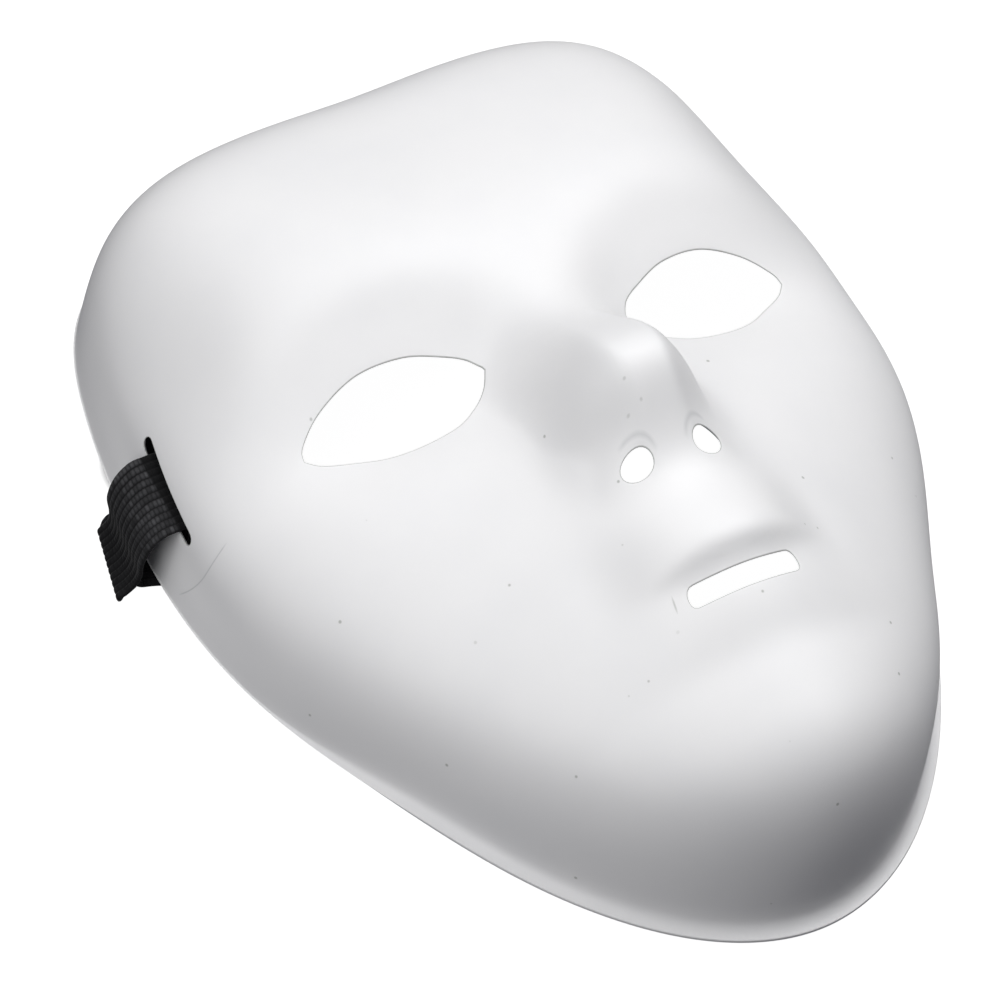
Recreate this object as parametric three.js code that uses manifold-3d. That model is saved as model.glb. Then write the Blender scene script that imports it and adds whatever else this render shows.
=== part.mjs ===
import * as THREE from "three";
import { mergeVertices } from "three/addons/utils/BufferGeometryUtils.js";
import Module from "manifold-3d";

const wasm = await Module();
wasm.setup();

// All sizes are in millimetres and all angles in degrees.
// The mask lies face up on its rim: X runs across the face, Y from chin to forehead and Z out of the face.

const SHEET_THICKNESS = 1.0;
const BAND_THICKNESS = 1.1;
const BAND_WIDTH = 20;
const CLEARANCE = 0.3;
const RIM_HEIGHT = BAND_THICKNESS + CLEARANCE;

// The outline is measured from this point, which lies on the middle line of the face.
const CENTRE_Y = 8;

// Moves the finished part so that the middle of its box is over the origin.
const BOX_SHIFT_Y = 2.05;

// Rim outline: angle above the horizontal, distance from the centre point
const RIM_OUTLINE = [
  [-90, 124],
  [-68, 110.5],
  [-45, 92.5],
  [-22, 86.5],
  [0, 88],
  [22, 94],
  [40, 105],
  [55, 114.5],
  [70, 110],
  [90, 103.5],
];

// How squarely the front turns into the side wall: angle above the horizontal, exponent
const SHOULDER = [
  [-90, 2.75],
  [-45, 2.65],
  [0, 3.2],
  [45, 2.3],
  [90, 1.7],
];
const WALL_EXPONENT = 3.65;

// Height of the front along the middle line: place along Y, height
const FRONT_PROFILE = [
  [-110, 68],
  [-80, 59.5],
  [-50, 55],
  [-20, 56.5],
  [15, 61.5],
  [50, 67.5],
  [85, 67],
  [115, 74],
];

// How fast the front falls away to the sides: place along Y, fall in mm at 10 mm from the middle
const SIDE_FALL = [
  [-80, 0.06],
  [0, 0.2],
  [80, 0.13],
];
const SIDE_FALL_REACH = 10;

// Nose: place along Y, height above the face, half width of the crest, width of the flank
const NOSE = [
  [-50.2, 0, 3.5, 11.5],
  [-41.2, 0, 3.5, 11.5],
  [-32.2, 3.1, 4.5, 15.4],
  [-23.2, 12.5, 4.4, 12.5],
  [-13.2, 22.8, 4, 16.5],
  [-1.2, 20.6, 5, 17],
  [13.8, 7.9, 2.9, 22],
  [29.8, 0.5, 2.5, 16.6],
  [43.8, 0, 4, 13.5],
  [55.8, 0, 4, 13.5],
];

// Soft swellings and hollows, in pairs either side of the middle or alone on it:
// distance from the middle, place along Y, width across, width along, height
const NOSTRIL_WING = { x: 14.9, y: -15.7, across: 5.6, along: 12.2, height: 4.9 };
const BRIDGE_ROOT = { x: 0, y: 20.8, across: 24.2, along: 19.3, height: 3 };
const EYE_SOCKET = { x: 40.3, y: 18, across: 38.5, along: 18, height: -10.7 };
const INNER_EYE_HOLLOW = { x: 18.6, y: 14.7, across: 9.7, along: 12.4, height: -3.2 };
const CHEEK_FOLD = { x: 26, y: -49.5, across: 7.5, along: 13, height: -1.5 };
const TEMPLE = { x: 80, y: 54, across: 15, along: 27.5, height: -7.4 };
const MUZZLE = { x: 0, y: -51.7, across: 29.8, along: 30.5, height: 17 };
const CHIN = { x: 0, y: -102.5, across: 40.5, along: 19, height: 5 };

// Crease under the brow, arched over each eye
const BROW_CREASE = { x: 41, y: 36.8, across: 22, along: 7, height: -1, arch: 0.011 };

// Step under the upper lip, and the fold under the lower lip
const LIP_STEP = { y: -57.2, softness: 2.7, reach: 14, height: 2.4, across: 20.5, bow: -0.0035 };
const CHIN_FOLD = { y: -77, along: 5.5, across: 33, height: -0.6, bow: -0.001 };

// The wall is drawn in a little round each temple slot, at this angle above the horizontal
const TEMPLE_RECESS = { depth: 2.2, elevation: 18, spread: 28, wall: 0.31, reach: 0.25 };

const NOSE_EDGE_SOFTNESS = 1;
const MIDDLE_SOFTNESS = 2;
const FEATURE_FADE = 0.6;

// Small lip turned outward at the foot of the wall, widest at the chin
const LIP_WIDTH = 3.2;
const LIP_LEAST = 0.4;
const LIP_STARTS = 10;
const LIP_FULL = 50;

// Openings, given for the side of positive X
const EYE_TOP = [
  [61.8, 18],
  [60.7, 21],
  [54.6, 25.5],
  [44.6, 28.4],
  [34, 27.3],
  [25.4, 23.7],
  [20.8, 20.9],
  [18.3, 17],
];
const EYE_BOTTOM = [
  [18.3, 17],
  [20.7, 13],
  [24.8, 9.6],
  [30.8, 6.6],
  [39, 6.4],
  [46.5, 8.1],
  [53, 11.5],
  [58.9, 14.9],
  [61.8, 18],
];
const NOSTRIL = { x: 8.9, y: -29.4, across: 3.6, along: 3.1 };
const MOUTH = { halfLength: 13.8, bottom: -64.6, top: -59.7, corner: 1.9, bow: -1.3 };
const STRAP_SLOT = { y: 35.8, z: 19.9 + RIM_HEIGHT, length: 27.6, width: 3.4, tilt: 8 };

// Centre line of the band, from the middle of the run under the mask to each sewn end: X, Y, Z, then
// the turn of its width away from Y, and the tilt of its width out of the level.
// On one side its loop stands off the wall, and on the other it is drawn tight against it.
const FLOOR_LAYER = BAND_THICKNESS / 2;
const SECOND_LAYER = FLOOR_LAYER + BAND_THICKNESS + CLEARANCE;
const SLOT_FOOT = STRAP_SLOT.z - STRAP_SLOT.width / 2 + CLEARANCE + BAND_THICKNESS / 2;
const BAND_MIDDLE = [-18, 24.9, FLOOR_LAYER, 0, 0];
const LOOSE_END_ROUTE = [
  [-42, 26.2, FLOOR_LAYER, 3, 0],
  [-60, 28.6, FLOOR_LAYER, 7, 0],
  [-76, 32.4, FLOOR_LAYER, 11, 0],
  [-87, 36.4, FLOOR_LAYER, 13, 0],
  [-89.5, 37.1, FLOOR_LAYER + 0.1, 13, 0],
  [-91, 37.2, FLOOR_LAYER + 1.2, 13, 0],
  [-92.5, 37, 2.9, 14, 0],
  [-93.9, 36.4, 2.6, 14, 0],
  [-94.9, 35.8, 1.6, 15, 0],
  [-95.6, 35.3, 1, 16, 0],
  [-96, 35.2, 1.55, 16, 0],
  [-95.6, 35.1, 2.4, 16, 0],
  [-94.9, 35, 3.05, 15, 0],
  [-93.8, 35, 4.15, 14, 0],
  [-93.1, 35, 5.5, 12, 0],
  [-92.8, 35.1, 8, 9, 0],
  [-93.3, 35.4, 12.6, 6, 2],
  [-91.7, 35.8, 17.6, 4.5, 5],
  [-88.6, 36, 20.4, 4.5, 8],
  [-85.4, 36, SLOT_FOOT + 0.3, 4.5, 8],
  [-81.9, 36, SLOT_FOOT, 4.5, 8],
  [-80.8, 35.9, 18.6, 4.5, 7],
  [-81.2, 35.2, 14, 4.5, 3],
  [-81.8, 33.6, 8, 5, 0],
  [-81, 32.6, 4, 10, 0],
  [-77.6, 32, SECOND_LAYER + 0.3, 11, 0],
  [-71, 30.6, SECOND_LAYER, 10, 0],
  [-56, 28, SECOND_LAYER, 7, 0],
];
const TIGHT_END_ROUTE = [
  [5, 25.3, FLOOR_LAYER, 0, 0],
  [26, 27.2, FLOOR_LAYER, 0, 0],
  [40, 27.6, FLOOR_LAYER, 0, 0],
  [51, 26.5, FLOOR_LAYER, 1, 0],
  [60, 24.8, FLOOR_LAYER, 0, 0],
  [70, 24.2, FLOOR_LAYER, -4, 0],
  [79, 26, FLOOR_LAYER, -8, 0],
  [87, 29.9, FLOOR_LAYER, -8, 0],
  [90, 32, FLOOR_LAYER, -6, 0],
  [93.2, 33, FLOOR_LAYER, -4.5, 0],
  [94.7, 33.3, FLOOR_LAYER + 0.1, -4.5, 0],
  [95.4, 33.4, FLOOR_LAYER + 0.75, -4.5, 0],
  [94.7, 33.5, FLOOR_LAYER + 1.45, -4.5, 0],
  [92.6, 33.7, 2.4, -4.5, 0],
  [90.4, 34, 3.4, -4.5, 0],
  [89, 34.2, 5.2, -4.5, 0],
  [88.4, 34.4, 7.4, -4.5, 0],
  [87.1, 34.9, 11, -4.5, 2],
  [86.1, 35.5, 14.6, -4.5, 5],
  [85.7, 35.9, 17.4, -4.5, 8],
  [85.1, 36, SLOT_FOOT - 0.7, -4.5, 8],
  [83.6, 36, SLOT_FOOT + 0.15, -4.5, 8],
  [81.9, 36, SLOT_FOOT - 0.3, -4.5, 8],
  [81.1, 35.9, 18, -4.5, 7],
  [81.4, 34.6, 14, -4.5, 3],
  [83.2, 30.8, 8, -5, 0],
  [83, 28, 4, -6, 0],
  [80.6, 26.2, SECOND_LAYER + 0.3, -8, 0],
  [76, 24.6, SECOND_LAYER, -7, 0],
  [66, 22.8, SECOND_LAYER, -3, 0],
];

const FRONT_RINGS = 17;
const WALL_RINGS = 10;
const FRONT_SHARE = 0.72;
const SPOKES = 60;
const LIP_RINGS = 3;
const STEPS_PER_POINT = 2;

// Points nearer to each other than this are one point.
const MERGE_DISTANCE = 1e-4;

// The upright cutters start above the band and end above the nose.
const CUTTER_FOOT = 15;
const CUTTER_HEIGHT = 110;

// The sideways cutters start inside the wall at the temple and end outside the mask.
const SLOT_CUTTER_START = 74;
const SLOT_CUTTER_LENGTH = 26;

const toRadians = THREE.MathUtils.degToRad;

function bell(value) {
  return Math.exp(-value * value);
}

// Cubic spline through rows of [place, value, ...]; flatEnds gives it level ends.
function spline(rows, column, flatEnds) {
  const count = rows.length;
  const place = rows.map((row) => row[0]);
  const value = rows.map((row) => row[column]);
  const bend = new Array(count).fill(0);
  const carry = new Array(count).fill(0);
  if (flatEnds) {
    bend[0] = -0.5;
    carry[0] = (3 / (place[1] - place[0])) * ((value[1] - value[0]) / (place[1] - place[0]));
  }
  for (let i = 1; i < count - 1; i += 1) {
    const share = (place[i] - place[i - 1]) / (place[i + 1] - place[i - 1]);
    const pivot = share * bend[i - 1] + 2;
    const after = (value[i + 1] - value[i]) / (place[i + 1] - place[i]);
    const before = (value[i] - value[i - 1]) / (place[i] - place[i - 1]);
    bend[i] = (share - 1) / pivot;
    carry[i] = ((6 * (after - before)) / (place[i + 1] - place[i - 1]) - share * carry[i - 1]) / pivot;
  }
  const last = count - 1;
  if (flatEnds) {
    const gap = place[last] - place[last - 1];
    const pull = (3 / gap) * (-(value[last] - value[last - 1]) / gap);
    bend[last] = (pull - 0.5 * carry[last - 1]) / (0.5 * bend[last - 1] + 1);
  }
  for (let i = last - 1; i >= 0; i -= 1) {
    bend[i] = bend[i] * bend[i + 1] + carry[i];
  }
  return (where) => {
    const at = THREE.MathUtils.clamp(where, place[0], place[last]);
    let k = 0;
    while (k < last - 1 && at > place[k + 1]) {
      k += 1;
    }
    const gap = place[k + 1] - place[k];
    const a = (place[k + 1] - at) / gap;
    const b = (at - place[k]) / gap;
    const curve = ((a ** 3 - a) * bend[k] + (b ** 3 - b) * bend[k + 1]) * gap * gap;
    return a * value[k] + b * value[k + 1] + curve / 6;
  };
}

const outlineAt = spline(RIM_OUTLINE, 1, true);
const shoulderAt = spline(SHOULDER, 1, true);
const frontAt = spline(FRONT_PROFILE, 1, false);
const sideFallAt = spline(SIDE_FALL, 1, false);
const noseHeightAt = spline(NOSE, 1, false);
const noseCrestAt = spline(NOSE, 2, false);
const noseFlankAt = spline(NOSE, 3, false);

function lipWidthAt(elevation) {
  const share = THREE.MathUtils.smoothstep(-elevation, LIP_STARTS, LIP_FULL);
  return LIP_LEAST + (LIP_WIDTH - LIP_LEAST) * share;
}

function swelling(shape, side, y) {
  return shape.height * bell((side - shape.x) / shape.across) * bell((y - shape.y) / shape.along);
}

function noseHeight(x, y) {
  const side = Math.hypot(x, NOSE_EDGE_SOFTNESS);
  const crest = noseCrestAt(y);
  const slope = THREE.MathUtils.smoothstep(side, crest, crest + noseFlankAt(y));
  return noseHeightAt(y) * (1 - slope);
}

function lipStep(x, y) {
  const above = y - (LIP_STEP.y - LIP_STEP.bow * x * x);
  const across = Math.exp(-((x / LIP_STEP.across) ** 4));
  const step = Math.tanh(above / LIP_STEP.softness) * Math.exp(-Math.abs(above) / LIP_STEP.reach);
  return LIP_STEP.height * step * across;
}

function chinFold(x, y) {
  const above = y - (CHIN_FOLD.y - CHIN_FOLD.bow * x * x);
  return CHIN_FOLD.height * bell(above / CHIN_FOLD.along) * Math.exp(-((x / CHIN_FOLD.across) ** 4));
}

function browCrease(side, y) {
  const arched = y + BROW_CREASE.arch * (side - BROW_CREASE.x) ** 2;
  return swelling(BROW_CREASE, side, arched);
}

function templeRecess(elevation, wall) {
  const { depth, elevation: middle, spread, wall: level, reach } = TEMPLE_RECESS;
  return depth * bell((elevation - middle) / spread) * bell((wall - level) / reach);
}

// Height of the outer face above the rim plane. Wall is 1 on the front and 0 at the foot of the wall.
function outerHeight(x, y, wall) {
  const side = Math.hypot(x, MIDDLE_SOFTNESS);
  const front = frontAt(y) - sideFallAt(y) * (x / SIDE_FALL_REACH) ** 2;
  let features = noseHeight(x, y) + lipStep(x, y) + chinFold(x, y) + browCrease(side, y);
  for (const pair of [NOSTRIL_WING, EYE_SOCKET, INNER_EYE_HOLLOW, CHEEK_FOLD, TEMPLE]) {
    features += swelling(pair, side, y);
  }
  for (const single of [BRIDGE_ROOT, MUZZLE, CHIN]) {
    features += swelling(single, x, y);
  }
  return front * wall + features * THREE.MathUtils.smoothstep(wall, 0, FEATURE_FADE);
}

// Point of the outer face at a spoke angle. The first rings are evenly spaced out to a share of
// the reach, and the others turn evenly down the wall to its foot, where the lip begins.
function outerPoint(angle, ring) {
  const elevation = THREE.MathUtils.radToDeg(Math.asin(Math.sin(angle)));
  const lip = lipWidthAt(elevation);
  const lipRise = lip + (SHEET_THICKNESS * lip) / LIP_WIDTH;
  const reach = outlineAt(elevation) - lip;
  const exponent = shoulderAt(elevation);
  const footShare = (lipRise / frontAt(CENTRE_Y + reach * Math.sin(angle))) ** (WALL_EXPONENT / 2);
  const frontTurn = Math.asin(Math.min(ring / FRONT_RINGS, 1) ** (exponent / 2) * FRONT_SHARE ** (exponent / 2));
  const wallTurn = Math.max(ring - FRONT_RINGS, 0) / WALL_RINGS;
  const turn = THREE.MathUtils.lerp(frontTurn, Math.acos(footShare), wallTurn);
  const wall = Math.cos(turn) ** (2 / WALL_EXPONENT);
  const recess = templeRecess(elevation, wall) * Math.sin(turn);
  const radius = reach * Math.sin(turn) ** (2 / exponent) - recess;
  const x = radius * Math.cos(angle);
  const y = CENTRE_Y + radius * Math.sin(angle);
  return new THREE.Vector3(x, y, outerHeight(x, y, wall));
}

// Point on the lip that turns outward from the foot of the wall, share 1 being its edge.
function lipPoint(angle, foot, share) {
  const elevation = THREE.MathUtils.radToDeg(Math.asin(Math.sin(angle)));
  const lip = lipWidthAt(elevation);
  const turn = share * toRadians(90);
  const edgeHeight = (SHEET_THICKNESS * (lip - LIP_LEAST)) / (LIP_WIDTH - LIP_LEAST);
  const outward = lip * (1 - Math.cos(turn));
  const drop = (foot.z - edgeHeight) * Math.sin(turn);
  return new THREE.Vector3(
    foot.x + outward * Math.cos(angle),
    foot.y + outward * Math.sin(angle),
    foot.z - drop,
  );
}

function solidFrom(positions, triangles) {
  const geometry = new THREE.BufferGeometry();
  geometry.setAttribute("position", new THREE.Float32BufferAttribute(positions, 3));
  geometry.setIndex(triangles);
  return toManifold(geometry);
}

function toManifold(geometry) {
  geometry.deleteAttribute("normal");
  geometry.deleteAttribute("uv");
  const merged = mergeVertices(geometry, MERGE_DISTANCE);
  return new wasm.Manifold(
    new wasm.Mesh({
      numProp: 3,
      vertProperties: Float32Array.from(merged.attributes.position.array),
      triVerts: Uint32Array.from(merged.index.array),
    }),
  );
}

function toMesh(solid, name, material) {
  const result = solid.getMesh();
  const geometry = new THREE.BufferGeometry();
  geometry.setAttribute("position", new THREE.BufferAttribute(result.vertProperties, 3));
  geometry.setIndex(new THREE.BufferAttribute(result.triVerts, 1));
  geometry.translate(0, BOX_SHIFT_Y, 0);
  geometry.computeVertexNormals();
  const mesh = new THREE.Mesh(geometry, material);
  mesh.name = name;
  return mesh;
}

// Outer skin of the sheet as rings of points from the centre point to the edge of the lip
function outerSkin() {
  const rings = [];
  for (let ring = 1; ring <= FRONT_RINGS + WALL_RINGS; ring += 1) {
    const row = [];
    for (let spoke = 0; spoke < SPOKES; spoke += 1) {
      row.push(outerPoint((spoke / SPOKES) * 2 * Math.PI, ring));
    }
    rings.push(row);
  }
  const foot = rings[rings.length - 1];
  for (let ring = 1; ring <= LIP_RINGS; ring += 1) {
    rings.push(foot.map((point, spoke) => lipPoint((spoke / SPOKES) * 2 * Math.PI, point, ring / LIP_RINGS)));
  }
  return rings;
}

function skinTriangles(ringCount, first, inward) {
  const triangles = [];
  const add = (a, b, c) => triangles.push(...(inward ? [a, c, b] : [a, b, c]));
  for (let spoke = 0; spoke < SPOKES; spoke += 1) {
    const next = (spoke + 1) % SPOKES;
    add(first, first + 1 + spoke, first + 1 + next);
    for (let ring = 0; ring < ringCount - 1; ring += 1) {
      const here = first + 1 + ring * SPOKES;
      const beyond = here + SPOKES;
      add(here + spoke, beyond + spoke, beyond + next);
      add(here + spoke, beyond + next, here + next);
    }
  }
  return triangles;
}

function sheetSolid() {
  const rings = outerSkin();
  const centre = new THREE.Vector3(0, CENTRE_Y, outerHeight(0, CENTRE_Y, 1));
  const outer = [centre, ...rings.flat()];
  const skin = new THREE.BufferGeometry().setFromPoints(outer);
  skin.setIndex(skinTriangles(rings.length, 0, false));
  skin.computeVertexNormals();
  const normals = skin.attributes.normal;
  const edgeStart = outer.length - SPOKES;
  const inner = outer.map((point, index) => {
    const normal = new THREE.Vector3().fromBufferAttribute(normals, index);
    const moved = point.clone().addScaledVector(normal, -SHEET_THICKNESS);
    moved.z = index >= edgeStart ? 0 : Math.max(moved.z, 0);
    return moved;
  });
  const positions = [...outer, ...inner].flatMap((point) => [point.x, point.y, point.z + RIM_HEIGHT]);
  const triangles = skinTriangles(rings.length, 0, false);
  triangles.push(...skinTriangles(rings.length, outer.length, true));
  for (let spoke = 0; spoke < SPOKES; spoke += 1) {
    const next = (spoke + 1) % SPOKES;
    const here = edgeStart + spoke;
    const beside = edgeStart + next;
    triangles.push(here, here + outer.length, beside + outer.length);
    triangles.push(here, beside + outer.length, beside);
  }
  return solidFrom(positions, triangles);
}

function mirrored(solid) {
  return solid.mirror([1, 0, 0]);
}

// Upright cutter with the outline of an opening, long enough to pass through the sheet
function uprightCutter(shape) {
  const options = { depth: CUTTER_HEIGHT, bevelEnabled: false, curveSegments: 6 };
  const cutter = new THREE.ExtrudeGeometry(shape, options);
  cutter.translate(0, 0, CUTTER_FOOT);
  return toManifold(cutter);
}

function eyeCutter() {
  const shape = new THREE.Shape();
  const toVector = ([x, y]) => new THREE.Vector2(x, y);
  shape.moveTo(...EYE_TOP[0]);
  shape.splineThru(EYE_TOP.slice(1).map(toVector));
  shape.splineThru(EYE_BOTTOM.slice(1).map(toVector));
  return uprightCutter(shape);
}

function nostrilCutter() {
  const shape = new THREE.Shape();
  shape.absellipse(NOSTRIL.x, NOSTRIL.y, NOSTRIL.across, NOSTRIL.along, 0, 2 * Math.PI);
  return uprightCutter(shape);
}

function mouthCutter() {
  const { halfLength, bottom, top, corner, bow } = MOUTH;
  const shape = new THREE.Shape();
  shape.moveTo(-halfLength + corner, bottom);
  shape.quadraticCurveTo(0, bottom + bow, halfLength - corner, bottom);
  shape.quadraticCurveTo(halfLength, bottom, halfLength, bottom + corner);
  shape.quadraticCurveTo(halfLength, top, halfLength - corner, top);
  shape.quadraticCurveTo(0, top + bow, -halfLength + corner, top);
  shape.quadraticCurveTo(-halfLength, top, -halfLength, bottom + corner);
  shape.quadraticCurveTo(-halfLength, bottom, -halfLength + corner, bottom);
  return uprightCutter(shape);
}

// Cutter that passes sideways through the right wall
function slotCutter() {
  const radius = STRAP_SLOT.width / 2;
  const half = STRAP_SLOT.length / 2 - radius;
  const shape = new THREE.Shape();
  shape.absarc(half, 0, radius, -Math.PI / 2, Math.PI / 2);
  shape.absarc(-half, 0, radius, Math.PI / 2, (3 * Math.PI) / 2);
  const options = { depth: SLOT_CUTTER_LENGTH, bevelEnabled: false, curveSegments: 5 };
  const cutter = new THREE.ExtrudeGeometry(shape, options);
  cutter.rotateX(Math.PI / 2);
  cutter.rotateZ(Math.PI / 2);
  cutter.rotateX(toRadians(STRAP_SLOT.tilt));
  cutter.translate(SLOT_CUTTER_START, STRAP_SLOT.y, STRAP_SLOT.z);
  return toManifold(cutter);
}

function maskShell() {
  let shell = sheetSolid();
  for (const cutter of [eyeCutter(), nostrilCutter(), slotCutter()]) {
    shell = shell.subtract(cutter).subtract(mirrored(cutter));
  }
  return shell.subtract(mouthCutter());
}

function elasticBand() {
  const rows = [...LOOSE_END_ROUTE.toReversed(), BAND_MIDDLE, ...TIGHT_END_ROUTE];
  const route = new THREE.CatmullRomCurve3(
    rows.map(([x, y, z]) => new THREE.Vector3(x, y, z)),
    false,
    "centripetal",
  );
  const positions = [];
  const triangles = [];
  const steps = (rows.length - 1) * STEPS_PER_POINT;
  for (let step = 0; step <= steps; step += 1) {
    const share = step / steps;
    const point = route.getPoint(share);
    const along = route.getTangent(share);
    const row = Math.min(Math.floor(step / STEPS_PER_POINT), rows.length - 2);
    const between = step / STEPS_PER_POINT - row;
    const turn = toRadians(THREE.MathUtils.lerp(rows[row][3], rows[row + 1][3], between));
    const tilt = toRadians(THREE.MathUtils.lerp(rows[row][4], rows[row + 1][4], between));
    const across = new THREE.Vector3(Math.sin(turn), Math.cos(turn), Math.sin(tilt)).normalize();
    const up = new THREE.Vector3().crossVectors(along, across).normalize();
    for (const [side, level] of [[1, 1], [-1, 1], [-1, -1], [1, -1]]) {
      const corner = point.clone();
      corner.addScaledVector(across, (side * BAND_WIDTH) / 2);
      corner.addScaledVector(up, (level * BAND_THICKNESS) / 2);
      positions.push(corner.x, corner.y, Math.max(corner.z, 0));
    }
  }
  for (let step = 0; step < steps; step += 1) {
    for (let edge = 0; edge < 4; edge += 1) {
      const here = step * 4 + edge;
      const beside = step * 4 + ((edge + 1) % 4);
      triangles.push(here, beside, beside + 4);
      triangles.push(here, beside + 4, here + 4);
    }
  }
  const end = steps * 4;
  triangles.push(0, 2, 1, 0, 3, 2);
  triangles.push(end, end + 1, end + 2, end, end + 2, end + 3);
  return solidFrom(positions, triangles);
}

const plastic = new THREE.MeshStandardMaterial({ color: 0xf2f2f2, roughness: 0.45, metalness: 0 });
const elastic = new THREE.MeshStandardMaterial({ color: 0x0f0f12, roughness: 0.85, metalness: 0 });

const mask = new THREE.Group();
mask.name = "face_mask";
mask.add(toMesh(maskShell(), "mask_shell", plastic));
mask.add(toMesh(elasticBand(), "elastic_band", elastic));

export default mask;
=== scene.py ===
"""A plain white moulded face mask with a black ribbed elastic band, lying face up."""

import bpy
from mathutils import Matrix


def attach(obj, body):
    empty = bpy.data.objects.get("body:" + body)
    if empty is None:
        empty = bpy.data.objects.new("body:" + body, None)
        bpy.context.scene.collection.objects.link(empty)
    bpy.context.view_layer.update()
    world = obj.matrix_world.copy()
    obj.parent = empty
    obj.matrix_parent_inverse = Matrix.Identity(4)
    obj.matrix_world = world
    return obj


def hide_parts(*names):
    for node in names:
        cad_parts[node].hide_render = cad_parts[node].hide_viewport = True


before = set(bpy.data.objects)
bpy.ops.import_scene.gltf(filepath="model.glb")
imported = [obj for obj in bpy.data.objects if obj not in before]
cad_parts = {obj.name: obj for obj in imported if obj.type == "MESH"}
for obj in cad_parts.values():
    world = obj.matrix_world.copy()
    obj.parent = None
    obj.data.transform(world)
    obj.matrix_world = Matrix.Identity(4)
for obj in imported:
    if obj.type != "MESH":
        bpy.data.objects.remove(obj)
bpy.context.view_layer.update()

import logging
import math
from collections.abc import Callable
from dataclasses import dataclass
from enum import Enum
from functools import cached_property

import bpy
import numpy as np
from mathutils import Matrix, Vector
from mathutils.geometry import delaunay_2d_cdt

LOG = logging.getLogger("face_mask")
Array = np.ndarray
Rows = tuple[tuple[float, ...], ...]

# Shapes and patterns are worked out in millimetres. Meshes, bumps, the table's sides and the
# lamps are in metres.
MILLIMETRE = 0.001

# The shell's rim plane lies this high above the table, and its own zero this far behind the
# part's, towards the forehead.
RIM_HEIGHT = 1.4
BOX_SHIFT_Y = 2.05


def bell(value: Array) -> Array:
    """Bell curve that is 1 at zero: e to the power of minus the value squared."""
    return np.exp(-value * value)


def smoothstep(value: Array, low: float, high: float | Array) -> Array:
    """Rise from 0 at low to 1 at high with level ends: three s squared less two s cubed.

    Args:
        value: Where the rise is read.
        low: Where it starts.
        high: Where it ends.

    Returns:
        Share risen at each value.
    """
    share = np.clip((value - low) / (high - low), 0, 1)
    return share * share * (3 - 2 * share)


def unit(vectors: Array) -> Array:
    """Vectors of the same directions and a length of 1."""
    return vectors / np.maximum(np.linalg.norm(vectors, axis=-1, keepdims=True), 1e-12)


@dataclass(frozen=True)
class Spline:
    """Cubic spline through rows of places and values, with level ends if it is clamped."""

    places: tuple[float, ...]
    values: tuple[float, ...]
    level_ends: bool = False

    @cached_property
    def bends(self) -> Array:
        """Bend of the spline at its places, from the usual tridiagonal equations.

        Returns:
            The second derivative at each place: nothing at the two ends, or what keeps the
            slope level there.
        """
        places, values = np.array(self.places), np.array(self.values)
        gaps = np.diff(places)
        slopes = np.diff(values) / gaps
        matrix = np.eye(len(places))
        right = np.zeros(len(places))
        inner = np.arange(1, len(places) - 1)
        matrix[inner, inner - 1] = gaps[:-1]
        matrix[inner, inner] = 2 * (gaps[:-1] + gaps[1:])
        matrix[inner, inner + 1] = gaps[1:]
        right[inner] = 6 * np.diff(slopes)
        if self.level_ends:
            matrix[0, :2] = 2 * gaps[0], gaps[0]
            matrix[-1, -2:] = gaps[-1], 2 * gaps[-1]
            right[0], right[-1] = 6 * slopes[0], -6 * slopes[-1]
        return np.linalg.solve(matrix, right)

    def at(self, where: Array) -> Array:
        """Value of the spline, held at its end values beyond its ends.

        Args:
            where: Places to read.

        Returns:
            Cubic of the nearest span at each place.
        """
        places, values = np.array(self.places), np.array(self.values)
        where = np.clip(where, places[0], places[-1])
        span = np.clip(np.searchsorted(places, where, side="right") - 1, 0, len(places) - 2)
        gap = places[span + 1] - places[span]
        before = (places[span + 1] - where) / gap
        after = (where - places[span]) / gap
        curve = (before**3 - before) * self.bends[span] + (after**3 - after) * self.bends[span + 1]
        return before * values[span] + after * values[span + 1] + curve * gap * gap / 6


def spline_of(rows: Rows, column: int = 1, level_ends: bool = False) -> Spline:
    """Spline through one column of rows whose first column is the place.

    Args:
        rows: Rows of a place and one or more values.
        column: Column of the value.
        level_ends: Whether the spline is level at its ends.

    Returns:
        The spline.
    """
    return Spline(tuple(row[0] for row in rows), tuple(row[column] for row in rows), level_ends)


@dataclass(frozen=True)
class Swelling:
    """Soft rise or hollow: a bell across times a bell along, alone or on both sides."""

    x: float
    y: float
    across: float
    along: float
    height: float
    paired: bool = True
    arch: float = 0.0
    middle_softness: float = 2.0

    def over(self, x: Array, y: Array) -> Array:
        """Height that it adds.

        Args:
            x: Places across the face.
            y: Places along the face.

        Returns:
            Height times both bells. An arch bends the shape with the square of the
            distance from its own middle.
        """
        aside = (np.hypot(x, self.middle_softness) if self.paired else x) - self.x
        ahead = y + self.arch * aside**2 - self.y
        return self.height * bell(aside / self.across) * bell(ahead / self.along)


@dataclass(frozen=True)
class Crease:
    """Line that bows across the face, where the sheet steps or folds, and fades to the sides."""

    y: float
    bow: float
    height: float
    softness: float
    half_width: float

    def above(self, x: Array, y: Array) -> Array:
        """Distance above the line, whose own height on the face goes up with x squared."""
        return y - (self.y + self.bow * x * x)

    def fade(self, x: Array) -> Array:
        """Share left at a distance to the side: e to minus the fourth power of its share."""
        return np.exp(-((x / self.half_width) ** 4))

    def step(self, x: Array, y: Array, reach: float) -> Array:
        """Height of a step up across the line.

        Args:
            x: Places across the face.
            y: Places along the face.
            reach: Distance from the line over which the step dies away.

        Returns:
            Height times the tanh of the distance over the softness, times the fades.
        """
        above = self.above(x, y)
        step = self.height * np.tanh(above / self.softness)
        return step * np.exp(-np.abs(above) / reach) * self.fade(x)

    def fold(self, x: Array, y: Array) -> Array:
        """Height of a fold along the line: height times a bell of the distance, times the fade."""
        return self.height * bell(self.above(x, y) / self.softness) * self.fade(x)


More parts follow.
